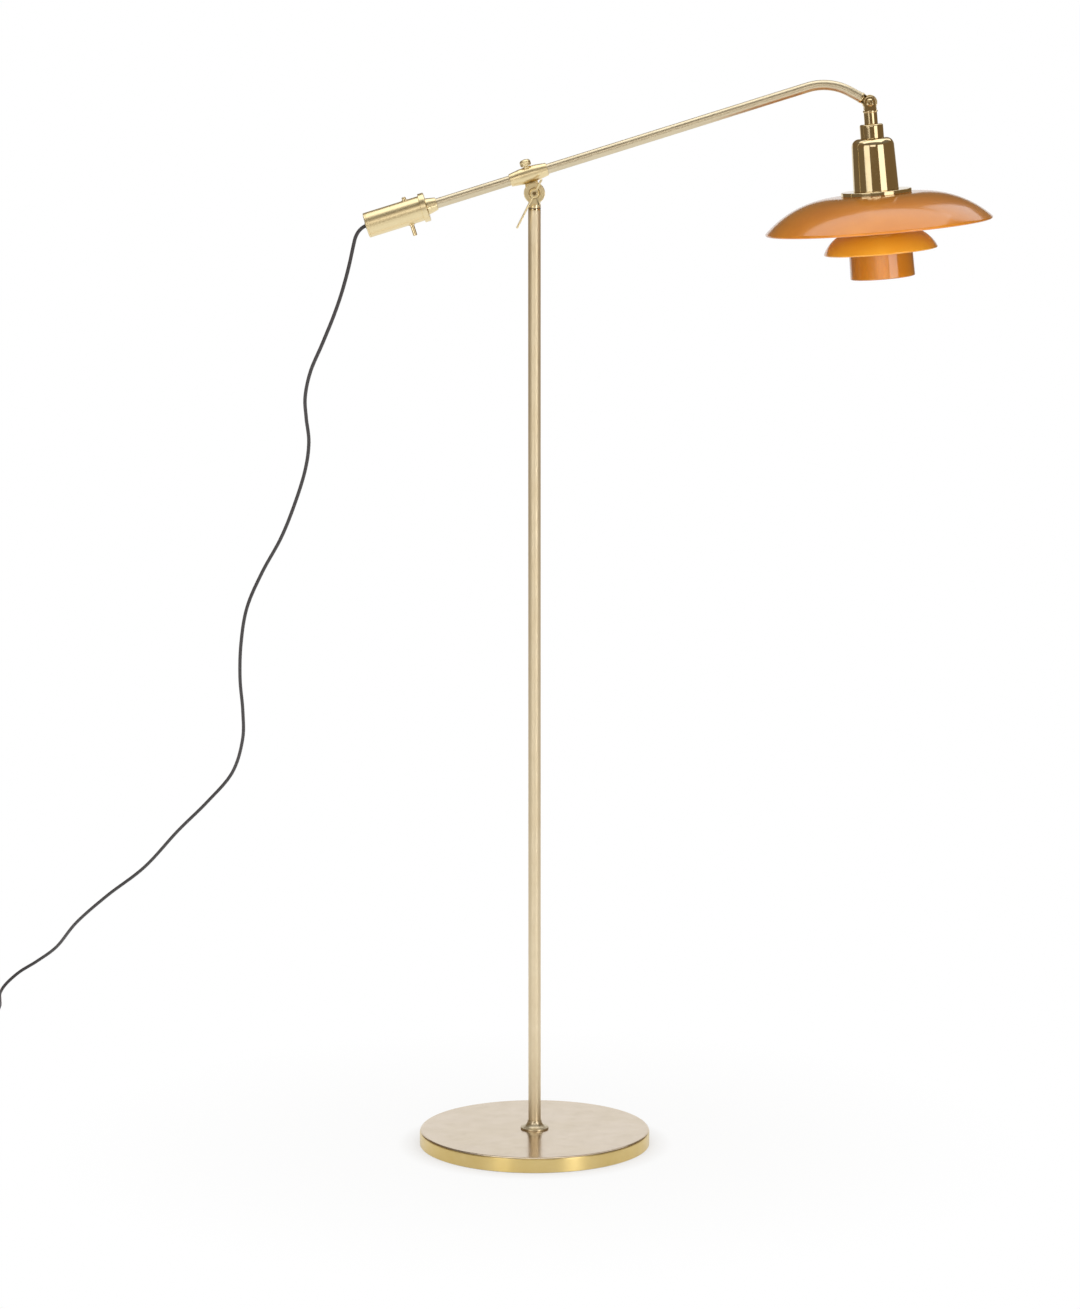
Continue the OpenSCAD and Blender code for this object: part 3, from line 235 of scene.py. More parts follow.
# One mesh from surfaces, each in its own frame: poles and seams merged, faces turned outwards
def makePiece(name, surfaces, material, sharp=38):
    points, faces, uvs, start = [], [], [], 0
    for surface, spot in surfaces:
        grid = surface["points"]
        rows, cols = grid.shape[:2]
        face, colStep, rowStep = gridFaces(rows, cols, surface["wrapRows"])
        points.append(place(grid.reshape(-1, 3), spot))
        faces.append(face + start)
        uvs.append(np.stack([surface["u"][colStep], surface["v"][rowStep]], -1).reshape(-1, 2))
        start += rows * cols
    mesh = bpy.data.meshes.new(name)
    mesh.from_pydata(np.concatenate(points).tolist(), [], np.concatenate(faces).tolist())
    mesh.uv_layers.new(name="lay").data.foreach_set("uv", np.concatenate(uvs).astype(np.float32).ravel())
    work = bmesh.new()
    work.from_mesh(mesh)
    bmesh.ops.remove_doubles(work, verts=work.verts, dist=1e-6)
    bmesh.ops.recalc_face_normals(work, faces=work.faces)
    work.to_mesh(mesh)
    work.free()
    mesh.polygons.foreach_set("use_smooth", np.ones(len(mesh.polygons), bool))
    mesh.set_sharp_from_angle(angle=math.radians(sharp))
    mesh.materials.append(material)
    piece = bpy.data.objects.new(name, mesh)
    bpy.context.scene.collection.objects.link(piece)
    return piece


# A piece that moves with a body and stands for CAD nodes
def fitted(name, surfaces, material, body, *nodes, slot="polished_brass", sharp=38):
    piece = makePiece(name, surfaces, material, sharp)
    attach(piece, body)
    if nodes:
        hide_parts(*nodes)
    return piece


# A turned piece: one section carried round Z of its frame
def spun(name, line, steps, spot, material, body, node, closed=True, **options):
    return fitted(name, [(turned(line, steps, closed), spot)], material, body, node, **options)


# Materials: small helpers that add and join nodes
def newMaterial(name):
    material = bpy.data.materials.new(name)
    material.use_nodes = True
    tree = material.node_tree
    return material, tree.nodes, tree.links, tree.nodes["Principled BSDF"]


def stretchedNoise(nodes, links, source, scale, detail=3.0, rough=0.5):  # noise, scaled along each axis
    where = nodes.new("ShaderNodeTexCoord")
    mapping = nodes.new("ShaderNodeMapping")
    mapping.inputs["Scale"].default_value = scale
    noise = nodes.new("ShaderNodeTexNoise")
    noise.inputs["Scale"].default_value = 1.0
    noise.inputs["Detail"].default_value = detail
    noise.inputs["Roughness"].default_value = rough
    links.new(where.outputs[source], mapping.inputs["Vector"])
    links.new(mapping.outputs["Vector"], noise.inputs["Vector"])
    return noise.outputs["Fac"]


def ranged(nodes, links, value, low, high, outLow, outHigh):  # low to high becomes outLow to outHigh
    box = nodes.new("ShaderNodeMapRange")
    box.inputs["From Min"].default_value = low
    box.inputs["From Max"].default_value = high
    box.inputs["To Min"].default_value = outLow
    box.inputs["To Max"].default_value = outHigh
    links.new(value, box.inputs["Value"])
    return box.outputs["Result"]


def shaded(nodes, links, value, stops):  # a colour ramp over a value
    ramp = nodes.new("ShaderNodeValToRGB")
    ramp.color_ramp.elements[0].position, ramp.color_ramp.elements[0].color = stops[0]
    ramp.color_ramp.elements[1].position, ramp.color_ramp.elements[1].color = stops[-1]
    for position, colour in stops[1:-1]:
        ramp.color_ramp.elements.new(position).color = colour
    links.new(value, ramp.inputs["Fac"])
    return ramp.outputs["Color"]


def bumped(nodes, links, height, strength, distance, under=None):  # a bump, over another where there is one
    bump = nodes.new("ShaderNodeBump")
    bump.inputs["Strength"].default_value = strength
    bump.inputs["Distance"].default_value = distance
    links.new(height, bump.inputs["Height"])
    if under is not None:
        links.new(under, bump.inputs["Normal"])
    return bump.outputs["Normal"]


# A math node: each source is a socket to join or a constant vector to set
def worked(nodes, links, kind, operation, *sources, out="Value"):
    node = nodes.new("ShaderNode" + kind)
    node.operation = operation
    for socket, source in zip(node.inputs, sources):
        if isinstance(source, tuple):
            socket.default_value = source
        else:
            links.new(source, socket)
    return node.outputs[out]


noiseSpread = (0.3, 0.7)  # most of a noise lies between these


# Two colours over a value, dark at its low end and light at its high end
def toned(nodes, links, value, spread, dark, light):
    return shaded(nodes, links, value, [(spread[0], (*dark, 1)), (spread[1], (*light, 1))])


# Polished brass: a warm yellow that varies a little with age, fine turning lines and soft clouding;
# a lay says how finely the lines repeat round a piece and along it
brass = {"age": (16, 16, 16), "ageSpread": (0.32, 0.68), "cloud": (45, 45, 45), "waves": (60, 60, 60),
         "waveBump": 0.012, "waveDeep": 0.001, "lineDeep": 0.0001, "tubeLay": (40, 2600, 1),
         "turnedLay": (30, 2200, 1), "baseLay": (25, 1800, 1), "drawnOut": 0.8, "drawnTurn": 0.25}


def polishedBrass(name, pale, deep, gloss, lines, lay):
    material, nodes, links, shader = newMaterial(name)
    shader.inputs["Metallic"].default_value = 1.0
    age = stretchedNoise(nodes, links, "Object", brass["age"], detail=5.0, rough=0.6)
    links.new(toned(nodes, links, age, brass["ageSpread"], deep, pale), shader.inputs["Base Color"])
    cloud = stretchedNoise(nodes, links, "Object", brass["cloud"], detail=4.0, rough=0.65)
    links.new(ranged(nodes, links, cloud, *noiseSpread, *gloss), shader.inputs["Roughness"])
    turning = stretchedNoise(nodes, links, "UV", brass[lay], detail=2.0)
    waves = stretchedNoise(nodes, links, "Object", brass["waves"], detail=1.0)
    soft = bumped(nodes, links, waves, brass["waveBump"], brass["waveDeep"])
    links.new(bumped(nodes, links, turning, lines, brass["lineDeep"], soft), shader.inputs["Normal"])
    return material


# Stem and arm are one brass tube; the stem's copy is painted lighter and the arm's darker, painted light and
# shade for how the lamps fall on each
brassTubesPaintedShade = polishedBrass("brassTubesPaintedShade", pale=(0.77, 0.68, 0.49), deep=(0.72, 0.62, 0.43),
                           gloss=(0.34, 0.42), lines=0.012, lay="tubeLay")
brassStemPaintedLight = polishedBrass("brassStemPaintedLight", pale=(0.92, 0.80, 0.58), deep=(0.86, 0.73, 0.50),
                          gloss=(0.46, 0.54), lines=0.012, lay="tubeLay")
brassFittings = polishedBrass("brassFittings", pale=(0.93, 0.79, 0.49), deep=(0.87, 0.72, 0.42),
                              gloss=(0.30, 0.38), lines=0.012, lay="tubeLay")
brassTurned = polishedBrass("brassTurned", pale=(0.83, 0.69, 0.43), deep=(0.77, 0.62, 0.36),
                            gloss=(0.06, 0.11), lines=0.03, lay="turnedLay")
brassBase = polishedBrass("brassBase", pale=(0.76, 0.64, 0.50), deep=(0.71, 0.59, 0.43),
                          gloss=(0.16, 0.24), lines=0.05, lay="baseLay")
# The base's upright wall: the same brass as its top, painted a deeper, warmer gold as a painted reflection;
# it is also rougher and brushed round
brassSidePaintedGold = polishedBrass("brassSidePaintedGold", pale=(0.84, 0.66, 0.30), deep=(0.78, 0.59, 0.23),
                          gloss=(0.33, 0.39), lines=0.10, lay="baseLay")


# Brushed round: the highlight is drawn out square to the lines, which run along the UV map's U
def brushRound(material):
    nodes, links = material.node_tree.nodes, material.node_tree.links
    shader = nodes["Principled BSDF"]
    lay = nodes.new("ShaderNodeTangent")
    lay.direction_type = "UV_MAP"
    lay.uv_map = "lay"
    links.new(lay.outputs["Tangent"], shader.inputs["Tangent"])
    shader.inputs["Anisotropic"].default_value = brass["drawnOut"]
    shader.inputs["Anisotropic Rotation"].default_value = brass["drawnTurn"]


brushRound(brassSidePaintedGold)

# Amber glass: coloured through, a little cloudy inside, with a glossy skin and faint ripples of the mould
amber = {"cloud": (22, 22, 22), "glassIor": 1.5, "coat": 1.0, "gloss": 0.2, "streaks": (8, 60, 1),
         "rough": (0.28, 0.32), "ripples": (38, 38, 38), "rippleBump": 0.04, "rippleDeep": 0.001}


def amberGlass(name, deep, light, through, skinIor, skinRough):
    material, nodes, links, shader = newMaterial(name)
    cloud = stretchedNoise(nodes, links, "Object", amber["cloud"], detail=4.0, rough=0.55)
    links.new(toned(nodes, links, cloud, noiseSpread, deep, light), shader.inputs["Base Color"])
    shader.inputs["Transmission Weight"].default_value = through
    shader.inputs["IOR"].default_value = amber["glassIor"]
    shader.inputs["Coat Weight"].default_value = amber["coat"]
    shader.inputs["Coat Roughness"].default_value = skinRough
    shader.inputs["Coat IOR"].default_value = skinIor
    shader.inputs["Specular IOR Level"].default_value = amber["gloss"]
    streak = stretchedNoise(nodes, links, "UV", amber["streaks"], detail=2.0)
    links.new(ranged(nodes, links, streak, *noiseSpread, *amber["rough"]), shader.inputs["Roughness"])
    ripple = stretchedNoise(nodes, links, "Object", amber["ripples"], detail=1.0)
    wavy = bumped(nodes, links, ripple, amber["rippleBump"], amber["rippleDeep"])
    links.new(wavy, shader.inputs["Normal"])
    links.new(wavy, shader.inputs["Coat Normal"])
    return material


# The three shades are one amber glass in three copies: the middle one is painted lighter and yellower against
# the top shade's shadow on it, the top one painted darker where the lamps light it most
amberTopPaintedShade = amberGlass("amberTopPaintedShade", deep=(0.69, 0.225, 0.014), light=(0.77, 0.275, 0.022),
                      through=0.12, skinIor=1.52, skinRough=0.12)
amberMiddlePaintedLight = amberGlass("amberMiddlePaintedLight", deep=(0.90, 0.385, 0.024), light=(0.95, 0.46, 0.038),
                         through=0.2, skinIor=1.6, skinRough=0.05)
amberLow = amberGlass("amberLow", deep=(0.70, 0.235, 0.004), light=(0.76, 0.285, 0.008),
                      through=0.45, skinIor=1.9, skinRough=0.05)

# A plain finish: mottled between two colours, with a fine grain in its gloss and bump
plain = {"mottle": 0.2, "deep": 0.0003}  # the mottle's scale as a share of the grain's, and the bump's depth


def plainFinish(name, dark, light, rough, grain, bumpBy, metallic=0.0):
    material, nodes, links, shader = newMaterial(name)
    shader.inputs["Metallic"].default_value = metallic
    mottle = stretchedNoise(nodes, links, "Object", (grain * plain["mottle"],) * 3, detail=4.0)
    links.new(toned(nodes, links, mottle, noiseSpread, dark, light), shader.inputs["Base Color"])
    fine = stretchedNoise(nodes, links, "Object", (grain,) * 3, detail=4.0)
    links.new(ranged(nodes, links, fine, *noiseSpread, *rough), shader.inputs["Roughness"])
    links.new(bumped(nodes, links, fine, bumpBy, plain["deep"]), shader.inputs["Normal"])
    return material


feltGreen = plainFinish("feltGreen", dark=(0.018, 0.034, 0.020), light=(0.040, 0.066, 0.042),
                        rough=(0.9, 1.0), grain=900, bumpBy=0.6)
castIron = plainFinish("castIron", dark=(0.05, 0.05, 0.052), light=(0.11, 0.11, 0.115),
                       rough=(0.5, 0.7), grain=700, bumpBy=0.5, metallic=0.6)
brightSteel = plainFinish("brightSteel", dark=(0.48, 0.48, 0.49), light=(0.62, 0.62, 0.63),
                          rough=(0.22, 0.36), grain=500, bumpBy=0.08, metallic=1.0)
brownFibre = plainFinish("brownFibre", dark=(0.045, 0.024, 0.014), light=(0.10, 0.058, 0.034),
                         rough=(0.55, 0.75), grain=800, bumpBy=0.3)
glazedWhite = plainFinish("glazedWhite", dark=(0.78, 0.75, 0.68), light=(0.85, 0.83, 0.77),
                          rough=(0.14, 0.24), grain=260, bumpBy=0.05)
opalWhite = plainFinish("opalWhite", dark=(0.86, 0.84, 0.78), light=(0.90, 0.89, 0.85),
                        rough=(0.22, 0.3), grain=120, bumpBy=0.02)
plugBlack = plainFinish("plugBlack", dark=(0.014, 0.014, 0.015), light=(0.026, 0.026, 0.027),
                        rough=(0.42, 0.56), grain=1400, bumpBy=0.12)
bushBlack = plainFinish("bushBlack", dark=(0.012, 0.012, 0.012), light=(0.022, 0.021, 0.021),
                        rough=(0.5, 0.65), grain=1600, bumpBy=0.15)
tieBlack = plainFinish("tieBlack", dark=(0.010, 0.010, 0.011), light=(0.022, 0.022, 0.024),
                       rough=(0.75, 0.9), grain=2200, bumpBy=0.5)

# Braided cord: two sets of fine diagonal strands on the cord's own UV, round by length
braid = {"lean": 35, "strands": 420.0, "wander": 0.6, "spread": (0.2, 0.9), "dark": (0.012, 0.010, 0.011),
         "light": (0.045, 0.040, 0.042), "fuzz": (1500, 1500, 1500), "rough": (0.42, 0.62), "sheen": 0.15,
         "bump": 0.35, "deep": 0.0003}


def braidedCord():
    material, nodes, links, shader = newMaterial("braidedCord")
    where = nodes.new("ShaderNodeTexCoord")
    heights = []
    for lean in (braid["lean"], -braid["lean"]):
        mapping = nodes.new("ShaderNodeMapping")
        mapping.inputs["Rotation"].default_value = (0, 0, math.radians(lean))
        strands = nodes.new("ShaderNodeTexWave")
        strands.inputs["Scale"].default_value = braid["strands"]
        strands.inputs["Distortion"].default_value = braid["wander"]
        links.new(where.outputs["UV"], mapping.inputs["Vector"])
        links.new(mapping.outputs["Vector"], strands.inputs["Vector"])
        heights.append(strands.outputs["Fac"])
    crossing = worked(nodes, links, "Math", "MAXIMUM", *heights)
    dyed = toned(nodes, links, crossing, braid["spread"], braid["dark"], braid["light"])
    links.new(dyed, shader.inputs["Base Color"])
    fuzz = stretchedNoise(nodes, links, "Object", braid["fuzz"])
    links.new(ranged(nodes, links, fuzz, *noiseSpread, *braid["rough"]), shader.inputs["Roughness"])
    shader.inputs["Sheen Weight"].default_value = braid["sheen"]
    links.new(bumped(nodes, links, crossing, braid["bump"], braid["deep"]), shader.inputs["Normal"])
    return material


cordBlack = braidedCord()
print("materials: brass, amber glass, cord and hidden finishes")

# Cord: the part's own route in metres, from the housing's bush to the floor, its coil and the plug
cord = {"across": 0.0044, "sides": 16, "steps": 8, "mouthAt": 0.0825, "mouth": 0.006,
        "armTo": 0.014, "sleeveFrom": 0.18, "swivelFrom": 0.55, "standFrom": 1.40,
        "coilAt": (-0.774, 0.622), "coilRadius": 0.0285, "coilTurns": 4.5, "coilRise": 0.0049,
        "coilHeight": 0.0035, "coilSteps": 48, "climbTurns": 0.5, "lead": 0.030, "leadSteps": 8,
        "intoBoot": 0.004, "aside": (0.6, 0.1, 0.8)}
cordPoints = [
    (-0.205, 0, 1.114), (-0.209, 0, 1.1095), (-0.212, 0, 1.1035), (-0.214, 0.001, 1.096),
    (-0.2165, 0.003, 1.085), (-0.2195, 0.006, 1.072), (-0.224, 0.011, 1.055), (-0.231, 0.019, 1.032),
    (-0.241, 0.032, 1.005), (-0.255, 0.050, 0.972), (-0.270, 0.075, 0.938), (-0.278, 0.100, 0.905),
    (-0.278, 0.120, 0.877), (-0.276, 0.140, 0.845), (-0.282, 0.163, 0.808), (-0.297, 0.192, 0.762),
    (-0.316, 0.225, 0.716), (-0.342, 0.260, 0.668), (-0.363, 0.288, 0.620), (-0.373, 0.318, 0.570),
    (-0.377, 0.352, 0.519), (-0.376, 0.385, 0.471), (-0.379, 0.418, 0.427), (-0.396, 0.462, 0.376),
    (-0.432, 0.500, 0.330), (-0.475, 0.547, 0.282), (-0.525, 0.608, 0.221), (-0.580, 0.657, 0.172),
    (-0.628, 0.712, 0.123), (-0.662, 0.772, 0.076), (-0.693, 0.806, 0.048), (-0.720, 0.820, 0.029),
    (-0.738, 0.812, 0.014), (-0.744, 0.790, 0.006), (-0.741, 0.760, 0.003), (-0.737, 0.725, 0.003),
    (-0.737, 0.690, 0.003), (-0.742, 0.660, 0.003)]


# A smooth curve through points: each gap is a cubic that leaves a point along the line between its neighbours
def smoothRoute(points, steps):
    a = np.concatenate([points[:1], points[:-2]])[:, None]
    b, c = points[:-1, None], points[1:, None]
    d = np.concatenate([points[2:], points[-1:]])[:, None]
    t = (np.arange(steps) / steps)[None, :, None]
    square, cube = 2 * a - 5 * b + 4 * c - d, 3 * b - a - 3 * c + d
    curve = 0.5 * (2 * b + (c - a) * t + square * t ** 2 + cube * t ** 3)
    return np.concatenate([curve.reshape(-1, 3), points[-1:]])


# The coil: the radius falls and grows again by one rise a turn, and the cord climbs a layer half way
def coilRoute():
    t = np.linspace(0, cord["coilTurns"], int(cord["coilTurns"] * cord["coilSteps"]) + 1)
    r = cord["coilRadius"] - cord["coilRise"] * np.minimum(t, cord["coilTurns"] - t)
    climb = np.clip((t - cord["coilTurns"] / 2) / cord["climbTurns"] + 0.5, 0, 1)
    z = cord["coilHeight"] + cord["coilRise"] * climb ** 2 * (3 - 2 * climb)
    turn = 2 * np.pi * t
    return np.stack([cord["coilAt"][0] + r * np.cos(turn), cord["coilAt"][1] - r * np.sin(turn), z], 1)


cordExit = tail - armDir * cord["mouthAt"]
cordMouth = cordExit - armDir * cord["mouth"]
coil = coilRoute()
stepBack = worldY * cord["across"]
coilStart, coilFinish = coil[0] + stepBack, coil[-1] + stepBack
hangPoints = np.array([cordExit, cordMouth, *cordPoints, coilStart + 2 * stepBack, coilStart])
leadEnd = coilFinish + worldY * (cord["lead"] + cord["intoBoot"])  # a little way into the plug's boot
lead = np.linspace(coilFinish, leadEnd, cord["leadSteps"])
route = np.concatenate([smoothRoute(hangPoints, cord["steps"]), coil, lead])
heading = unit(np.gradient(route, axis=0))
cordAcross = unit(np.cross(heading, np.array(cord["aside"])))  # aside is a direction the cord never takes
cordUp = np.cross(heading, cordAcross)
holds = ("armTo", "sleeveFrom", "swivelFrom", "standFrom")  # how far along the cord each body's hold ends
cutArm, cutSleeve, cutSwivel, cutStand = [int(np.argmax(lengths(route) > cord[mark])) for mark in holds]


def cordLength(name, first, last):  # one length of the cord; its end rings are those of its neighbours
    part = slice(first, last)
    surface = tube(route[part], cordAcross[part], cordUp[part], cord["across"] / 2, cord["sides"])
    return makePiece(name, [(surface, floorSpot)], cordBlack)


cordTop = cordLength("cordTop", 0, cutSleeve + 1)
cordMiddle = cordLength("cordMiddle", cutSleeve, cutSwivel + 1)
cordLow = cordLength("cordLow", cutSwivel, len(route))
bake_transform(cordTop)
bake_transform(cordMiddle)
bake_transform(cordLow)
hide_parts("cord_hang", "cord_coil", "cord_lead")

# Plug: a ribbed boot that swells into a rounded body, and two pins with black collars
plug = {"boot": 0.020, "bootSteps": 61, "tip": 0.003, "root": 0.006, "taper": 1.3, "ribs": 5, "ribDeep": 0.1,
        "body": 0.032, "wide": 0.027, "high": 0.016, "inset": 0.0004, "edge": 0.0022, "round": 2.0,
        "square": 3.6, "pin": 0.0024, "pinLong": 0.019, "pinApart": 0.019, "pinRoot": 0.001, "collar": 0.009,
        "collarWall": 0.0002, "gripSteps": 25, "gripShare": 0.5, "edgeSteps": 9, "frontPull": 1.4}
plugSpot = axes(coilFinish + worldY * cord["lead"], worldY, worldZ)


# Half width and height by distance: ribs on the boot, an S curve out to the grip and a round front
def plugBody():
    boot = np.linspace(0, plug["boot"], plug["bootSteps"])
    share = boot / plug["boot"]
    taper = plug["tip"] + (plug["root"] - plug["tip"]) * share ** plug["taper"]
    bootR = taper * (1 - plug["ribDeep"] * np.clip(np.sin(share * plug["ribs"] * 2 * np.pi), 0, 1) ** 2)
    grip = np.linspace(0, 1, plug["gripSteps"] + 1)[1:]
    ease = grip ** 2 * (3 - 2 * grip)
    out = plug["boot"] + grip * plug["body"] * plug["gripShare"]
    fullWide, fullHigh = plug["wide"] / 2, plug["high"] / 2 - plug["inset"]
    wide = plug["root"] + (fullWide - plug["root"]) * ease
    high = plug["root"] + (fullHigh - plug["root"]) * ease
    a = np.linspace(0, np.pi / 2, plug["edgeSteps"] + 1)
    front = plug["boot"] + plug["body"] - plug["edge"] + plug["edge"] * np.sin(a)
    pull = plug["edge"] * np.append(1 - np.cos(a), plug["frontPull"])
    along = np.concatenate([boot, out, front, front[-1:]])
    halfWide = np.concatenate([bootR, wide, fullWide - pull])
    halfHigh = np.concatenate([bootR, high, high[-1] - pull])
    squarer = plug["round"] + (plug["square"] - plug["round"]) * ease
    power = np.concatenate([np.full(len(boot), plug["round"]), squarer, np.full(len(pull), plug["square"])])
    return loft(along, halfWide, halfHigh, power)


def pinRods(radius, reach, edge):  # a rod on each pin's axis, from just inside the plug's front
    front = plug["boot"] + plug["body"]
    line = rodLine(radius, front - plug["pinRoot"], front + reach, 0, edge)
    sides = (worldX * side * plug["pinApart"] / 2 for side in (-1, 1))
    return [(turned(line, 32), axes(plugSpot["origin"] + side, worldX, worldY)) for side in sides]


plugShell = fitted("plugShell", [(plugBody(), plugSpot)], plugBlack, "stand", "plug_body",
                   slot="black_plastic", sharp=50)
thinRods = pinRods(plug["pin"] - plug["collarWall"], plug["pinLong"], 0.0012)
plugPins = fitted("plugPins", thinRods, brassTurned, "stand", "plug_pins")
collarRods = pinRods(plug["pin"], plug["collar"], 0.0003)
pinCollars = fitted("pinCollars", collarRods, plugBlack, "stand", slot="black_plastic")

# Strap: a rounded oblong loop across the coil that carries a thin flat section with round edges
strap = {"inner": 0.01507, "outer": 0.0309, "low": 0.0008, "high": 0.0111, "corner": 0.003, "thick": 0.0008,
         "wide": 0.005, "edge": 0.0003}


def oblong(left, right, low, high, edge, arcSteps):  # a closed oblong line with rounded corners
    corners = [(left, low, edge), (right, low, edge), (right, high, edge), (left, high, edge)]
    return section(corners, closed=True, arcSteps=arcSteps)


def strapLoop():  # each point of the loop carries the section across Y and along the loop's own normal
    loop = oblong(strap["inner"], strap["outer"], strap["low"], strap["high"], strap["corner"], 8)
    along = unit(np.roll(loop, -1, 0) - np.roll(loop, 1, 0))
    outward = np.stack([along[:, 1], -along[:, 0]], 1)
    half, thin = strap["wide"] / 2, strap["thick"] / 2
    ring = oblong(-half, half, -thin, thin, strap["edge"], 3)
    flat = loop[:, None] + outward[:, None] * ring[None, :, 1:]
    points = np.stack([flat[..., 0], np.repeat(ring[None, :, 0], len(loop), 0), flat[..., 1]], -1)
    return {"points": points, "wrapRows": True,
            "u": lengths(np.concatenate([ring, ring[:1]])), "v": lengths(np.concatenate([loop, loop[:1]]))}


strapSpot = axes((*cord["coilAt"], 0.0), ahead, worldZ)
coilStrap = fitted("coilStrap", [(strapLoop(), strapSpot)], tieBlack, "stand", "coil_tie",
                   slot="black_plastic")

print("cord:", round(float(lengths(route)[-1]), 3), "m in three lengths, with plug and strap")

# Base: a spun shell with a rounded top edge, open underneath; its upright wall is brushed round and painted a
# deeper gold than the top, a painted reflection
base = {"radius": 0.140, "height": 0.019, "edge": 0.003, "wall": 0.0015, "lift": 0.0006, "hole": 0.00505,
        "upright": 0.6}
baseInner, baseUnder = base["radius"] - base["wall"], base["height"] - base["wall"]
baseLine = named(base, [
    ("hole", baseUnder), ("hole", "height"), ("radius", "height", "edge"), ("radius", "lift", 0.0005),
    (baseInner, "lift", 0.0005), (baseInner, baseUnder, base["edge"] - base["wall"])],
    closed=True, arcSteps=8)
baseShell = spun("baseShell", baseLine, 192, floorSpot, brassBase, "stand", "base_shell")
faceNormals = np.empty(3 * len(baseShell.data.polygons), np.float32)
baseShell.data.polygons.foreach_get("normal", faceNormals)
baseShell.data.materials.append(brassSidePaintedGold)
# The upright faces take the painted reflection's deeper gold
onWall = np.abs(faceNormals[2::3]) < base["upright"]
baseShell.data.polygons.foreach_set("material_index", onWall.astype(np.int32))

# Stem: a straight tube in a collar that flares out on the base
stem = {"radius": 0.0075, "bore": 0.006, "foot": 0.019, "top": 1.136, "gap": 0.00005, "collar": 0.017,
        "lip": 0.002, "step": 0.0009, "flare": 0.00855, "flareFrom": 264}
stemCorners = [("radius", "foot"), ("radius", "top", 0.0004), ("bore", "top", 0.0003), ("bore", "foot")]
spun("stemTube", named(stem, stemCorners, closed=True), 96, floorSpot, brassStemPaintedLight, "stand", "stem_tube")
collarInner, lipTop = stem["radius"] + stem["gap"], stem["foot"] + stem["lip"]
flareTop = lipTop + stem["flare"]
stemCollarLine = np.concatenate([
    named(stem, [(collarInner, "foot"), ("collar", "foot", 0.0003), ("collar", lipTop, 0.0005),
                 (stem["collar"] - stem["step"], lipTop)]),
    arcLine((stem["collar"], flareTop), stem["flare"], stem["flareFrom"], 180, 20),
    [(collarInner, flareTop)]])
spun("stemCollar", stemCollarLine, 96, floorSpot, brassTubesPaintedShade, "stand", "stem_flange", sharp=50)
print("base and stem")

# Swivel: a hub on the stem, and a round ear in front of the arm's own ear, on one bolt
swivel = {"hubFoot": 1.1383, "hubHigh": 0.0047, "spindle": 0.004, "spindleLong": 0.0301, "intoHub": 0.0005,
          "ear": 0.0125, "earIn": 0.0006, "earThick": 0.006, "earEdge": 0.0007, "web": 0.015,
          "webInset": 0.0004, "webShort": 0.002, "bolt": 0.003, "boltEnd": 0.0154, "boltHead": 0.0065,
          "dome": [(0.0030, -0.01005, 0.002), (0.0055, -0.0090, 0.0025), (0.0065, -0.0075, 0.0009)],
          "headThick": 0.0036, "bore": 0.00305, "washer": 0.007, "washerThick": 0.0008}
earFace = swivel["earIn"] + swivel["earThick"]  # from the pivot to the outer face of either ear
washerFace = earFace + swivel["washerThick"]


# A round ear with a straight web: the circle, then the web's sides up to its top
def earOutline(radius, halfWeb, rise, steps=72, sideSteps=7, topSteps=11):
    start = math.degrees(math.acos(halfWeb / radius))
    around = arcLine((0, 0), radius, 180 - start, 360 + start, steps)
    side = np.linspace(math.sin(math.radians(start)) * radius, rise, sideSteps + 1)[1:]
    right = np.stack([np.full(len(side), halfWeb), side], 1)
    over = np.linspace(halfWeb, -halfWeb, topSteps + 1)[1:-1]
    top = np.stack([over, np.full(len(over), rise)], 1)
    return np.concatenate([around, right, top, right[::-1] * (-1, 1)])


hubLine = rodLine(stem["radius"], 0, swivel["hubHigh"], 0.0004, 0.001)
spindleLine = rodLine(swivel["spindle"], -swivel["spindleLong"], swivel["intoHub"], 0.0004)
hubSpot = axes((0, 0, swivel["hubFoot"]), worldX, worldZ)
frontRise = pivot[2] - swivel["hubFoot"] - swivel["webShort"]
frontEar = earOutline(swivel["ear"], swivel["web"] / 2 - swivel["webInset"], frontRise)
frontEarSpot = axes(pivot, -worldX, ahead)  # the web hangs down to the hub
fitted("swivelHead", [
    (turned(hubLine, 96), hubSpot), (turned(spindleLine, 48), hubSpot),
    (plate(frontEar, swivel["earIn"], earFace, swivel["earEdge"]), frontEarSpot)],
    brassFittings, "swivel", "swivel_head")
boltLine = named(swivel, [
    (0, -earFace - swivel["headThick"]), *swivel["dome"], ("boltHead", -earFace, 0.0003), ("bolt", -earFace),
    ("bolt", "boltEnd", 0.0006), (0, "boltEnd")])
spun("tiltBolt", boltLine, 72, tiltSpot, brassTurned, "swivel", "tilt_bolt", closed=False)
washerLine = named(swivel, [("bore", earFace), ("washer", earFace, 0.0002), ("washer", washerFace, 0.0003),
                            ("bore", washerFace)], closed=True)
spun("nutWasher", washerLine, 72, tiltSpot, brassTurned, "swivel", "nut_washer")

# Wing nut: a tapered hub with a short wing and a long one, both rounded, that rise from it
wing = {"bore": 0.00305, "hub": 0.006, "hubTop": 0.0048, "hubHigh": 0.007, "short": 0.019, "long": 0.046,
        "thick": 0.0024, "edge": 0.0008, "turn": 63, "tip": 0.0035, "foot": 0.0032, "footFrom": 0.0125,
        "root": 0.0035, "rootLow": 0.0012, "rootHigh": 0.0064, "backTo": 0.0072, "middle": (0.0115, 0.0054)}
wingHubLine = named(wing, [("bore", 0), ("hub", 0, 0.0004), ("hubTop", "hubHigh", 0.0008),
                           ("bore", "hubHigh", 0.0003)], closed=True)


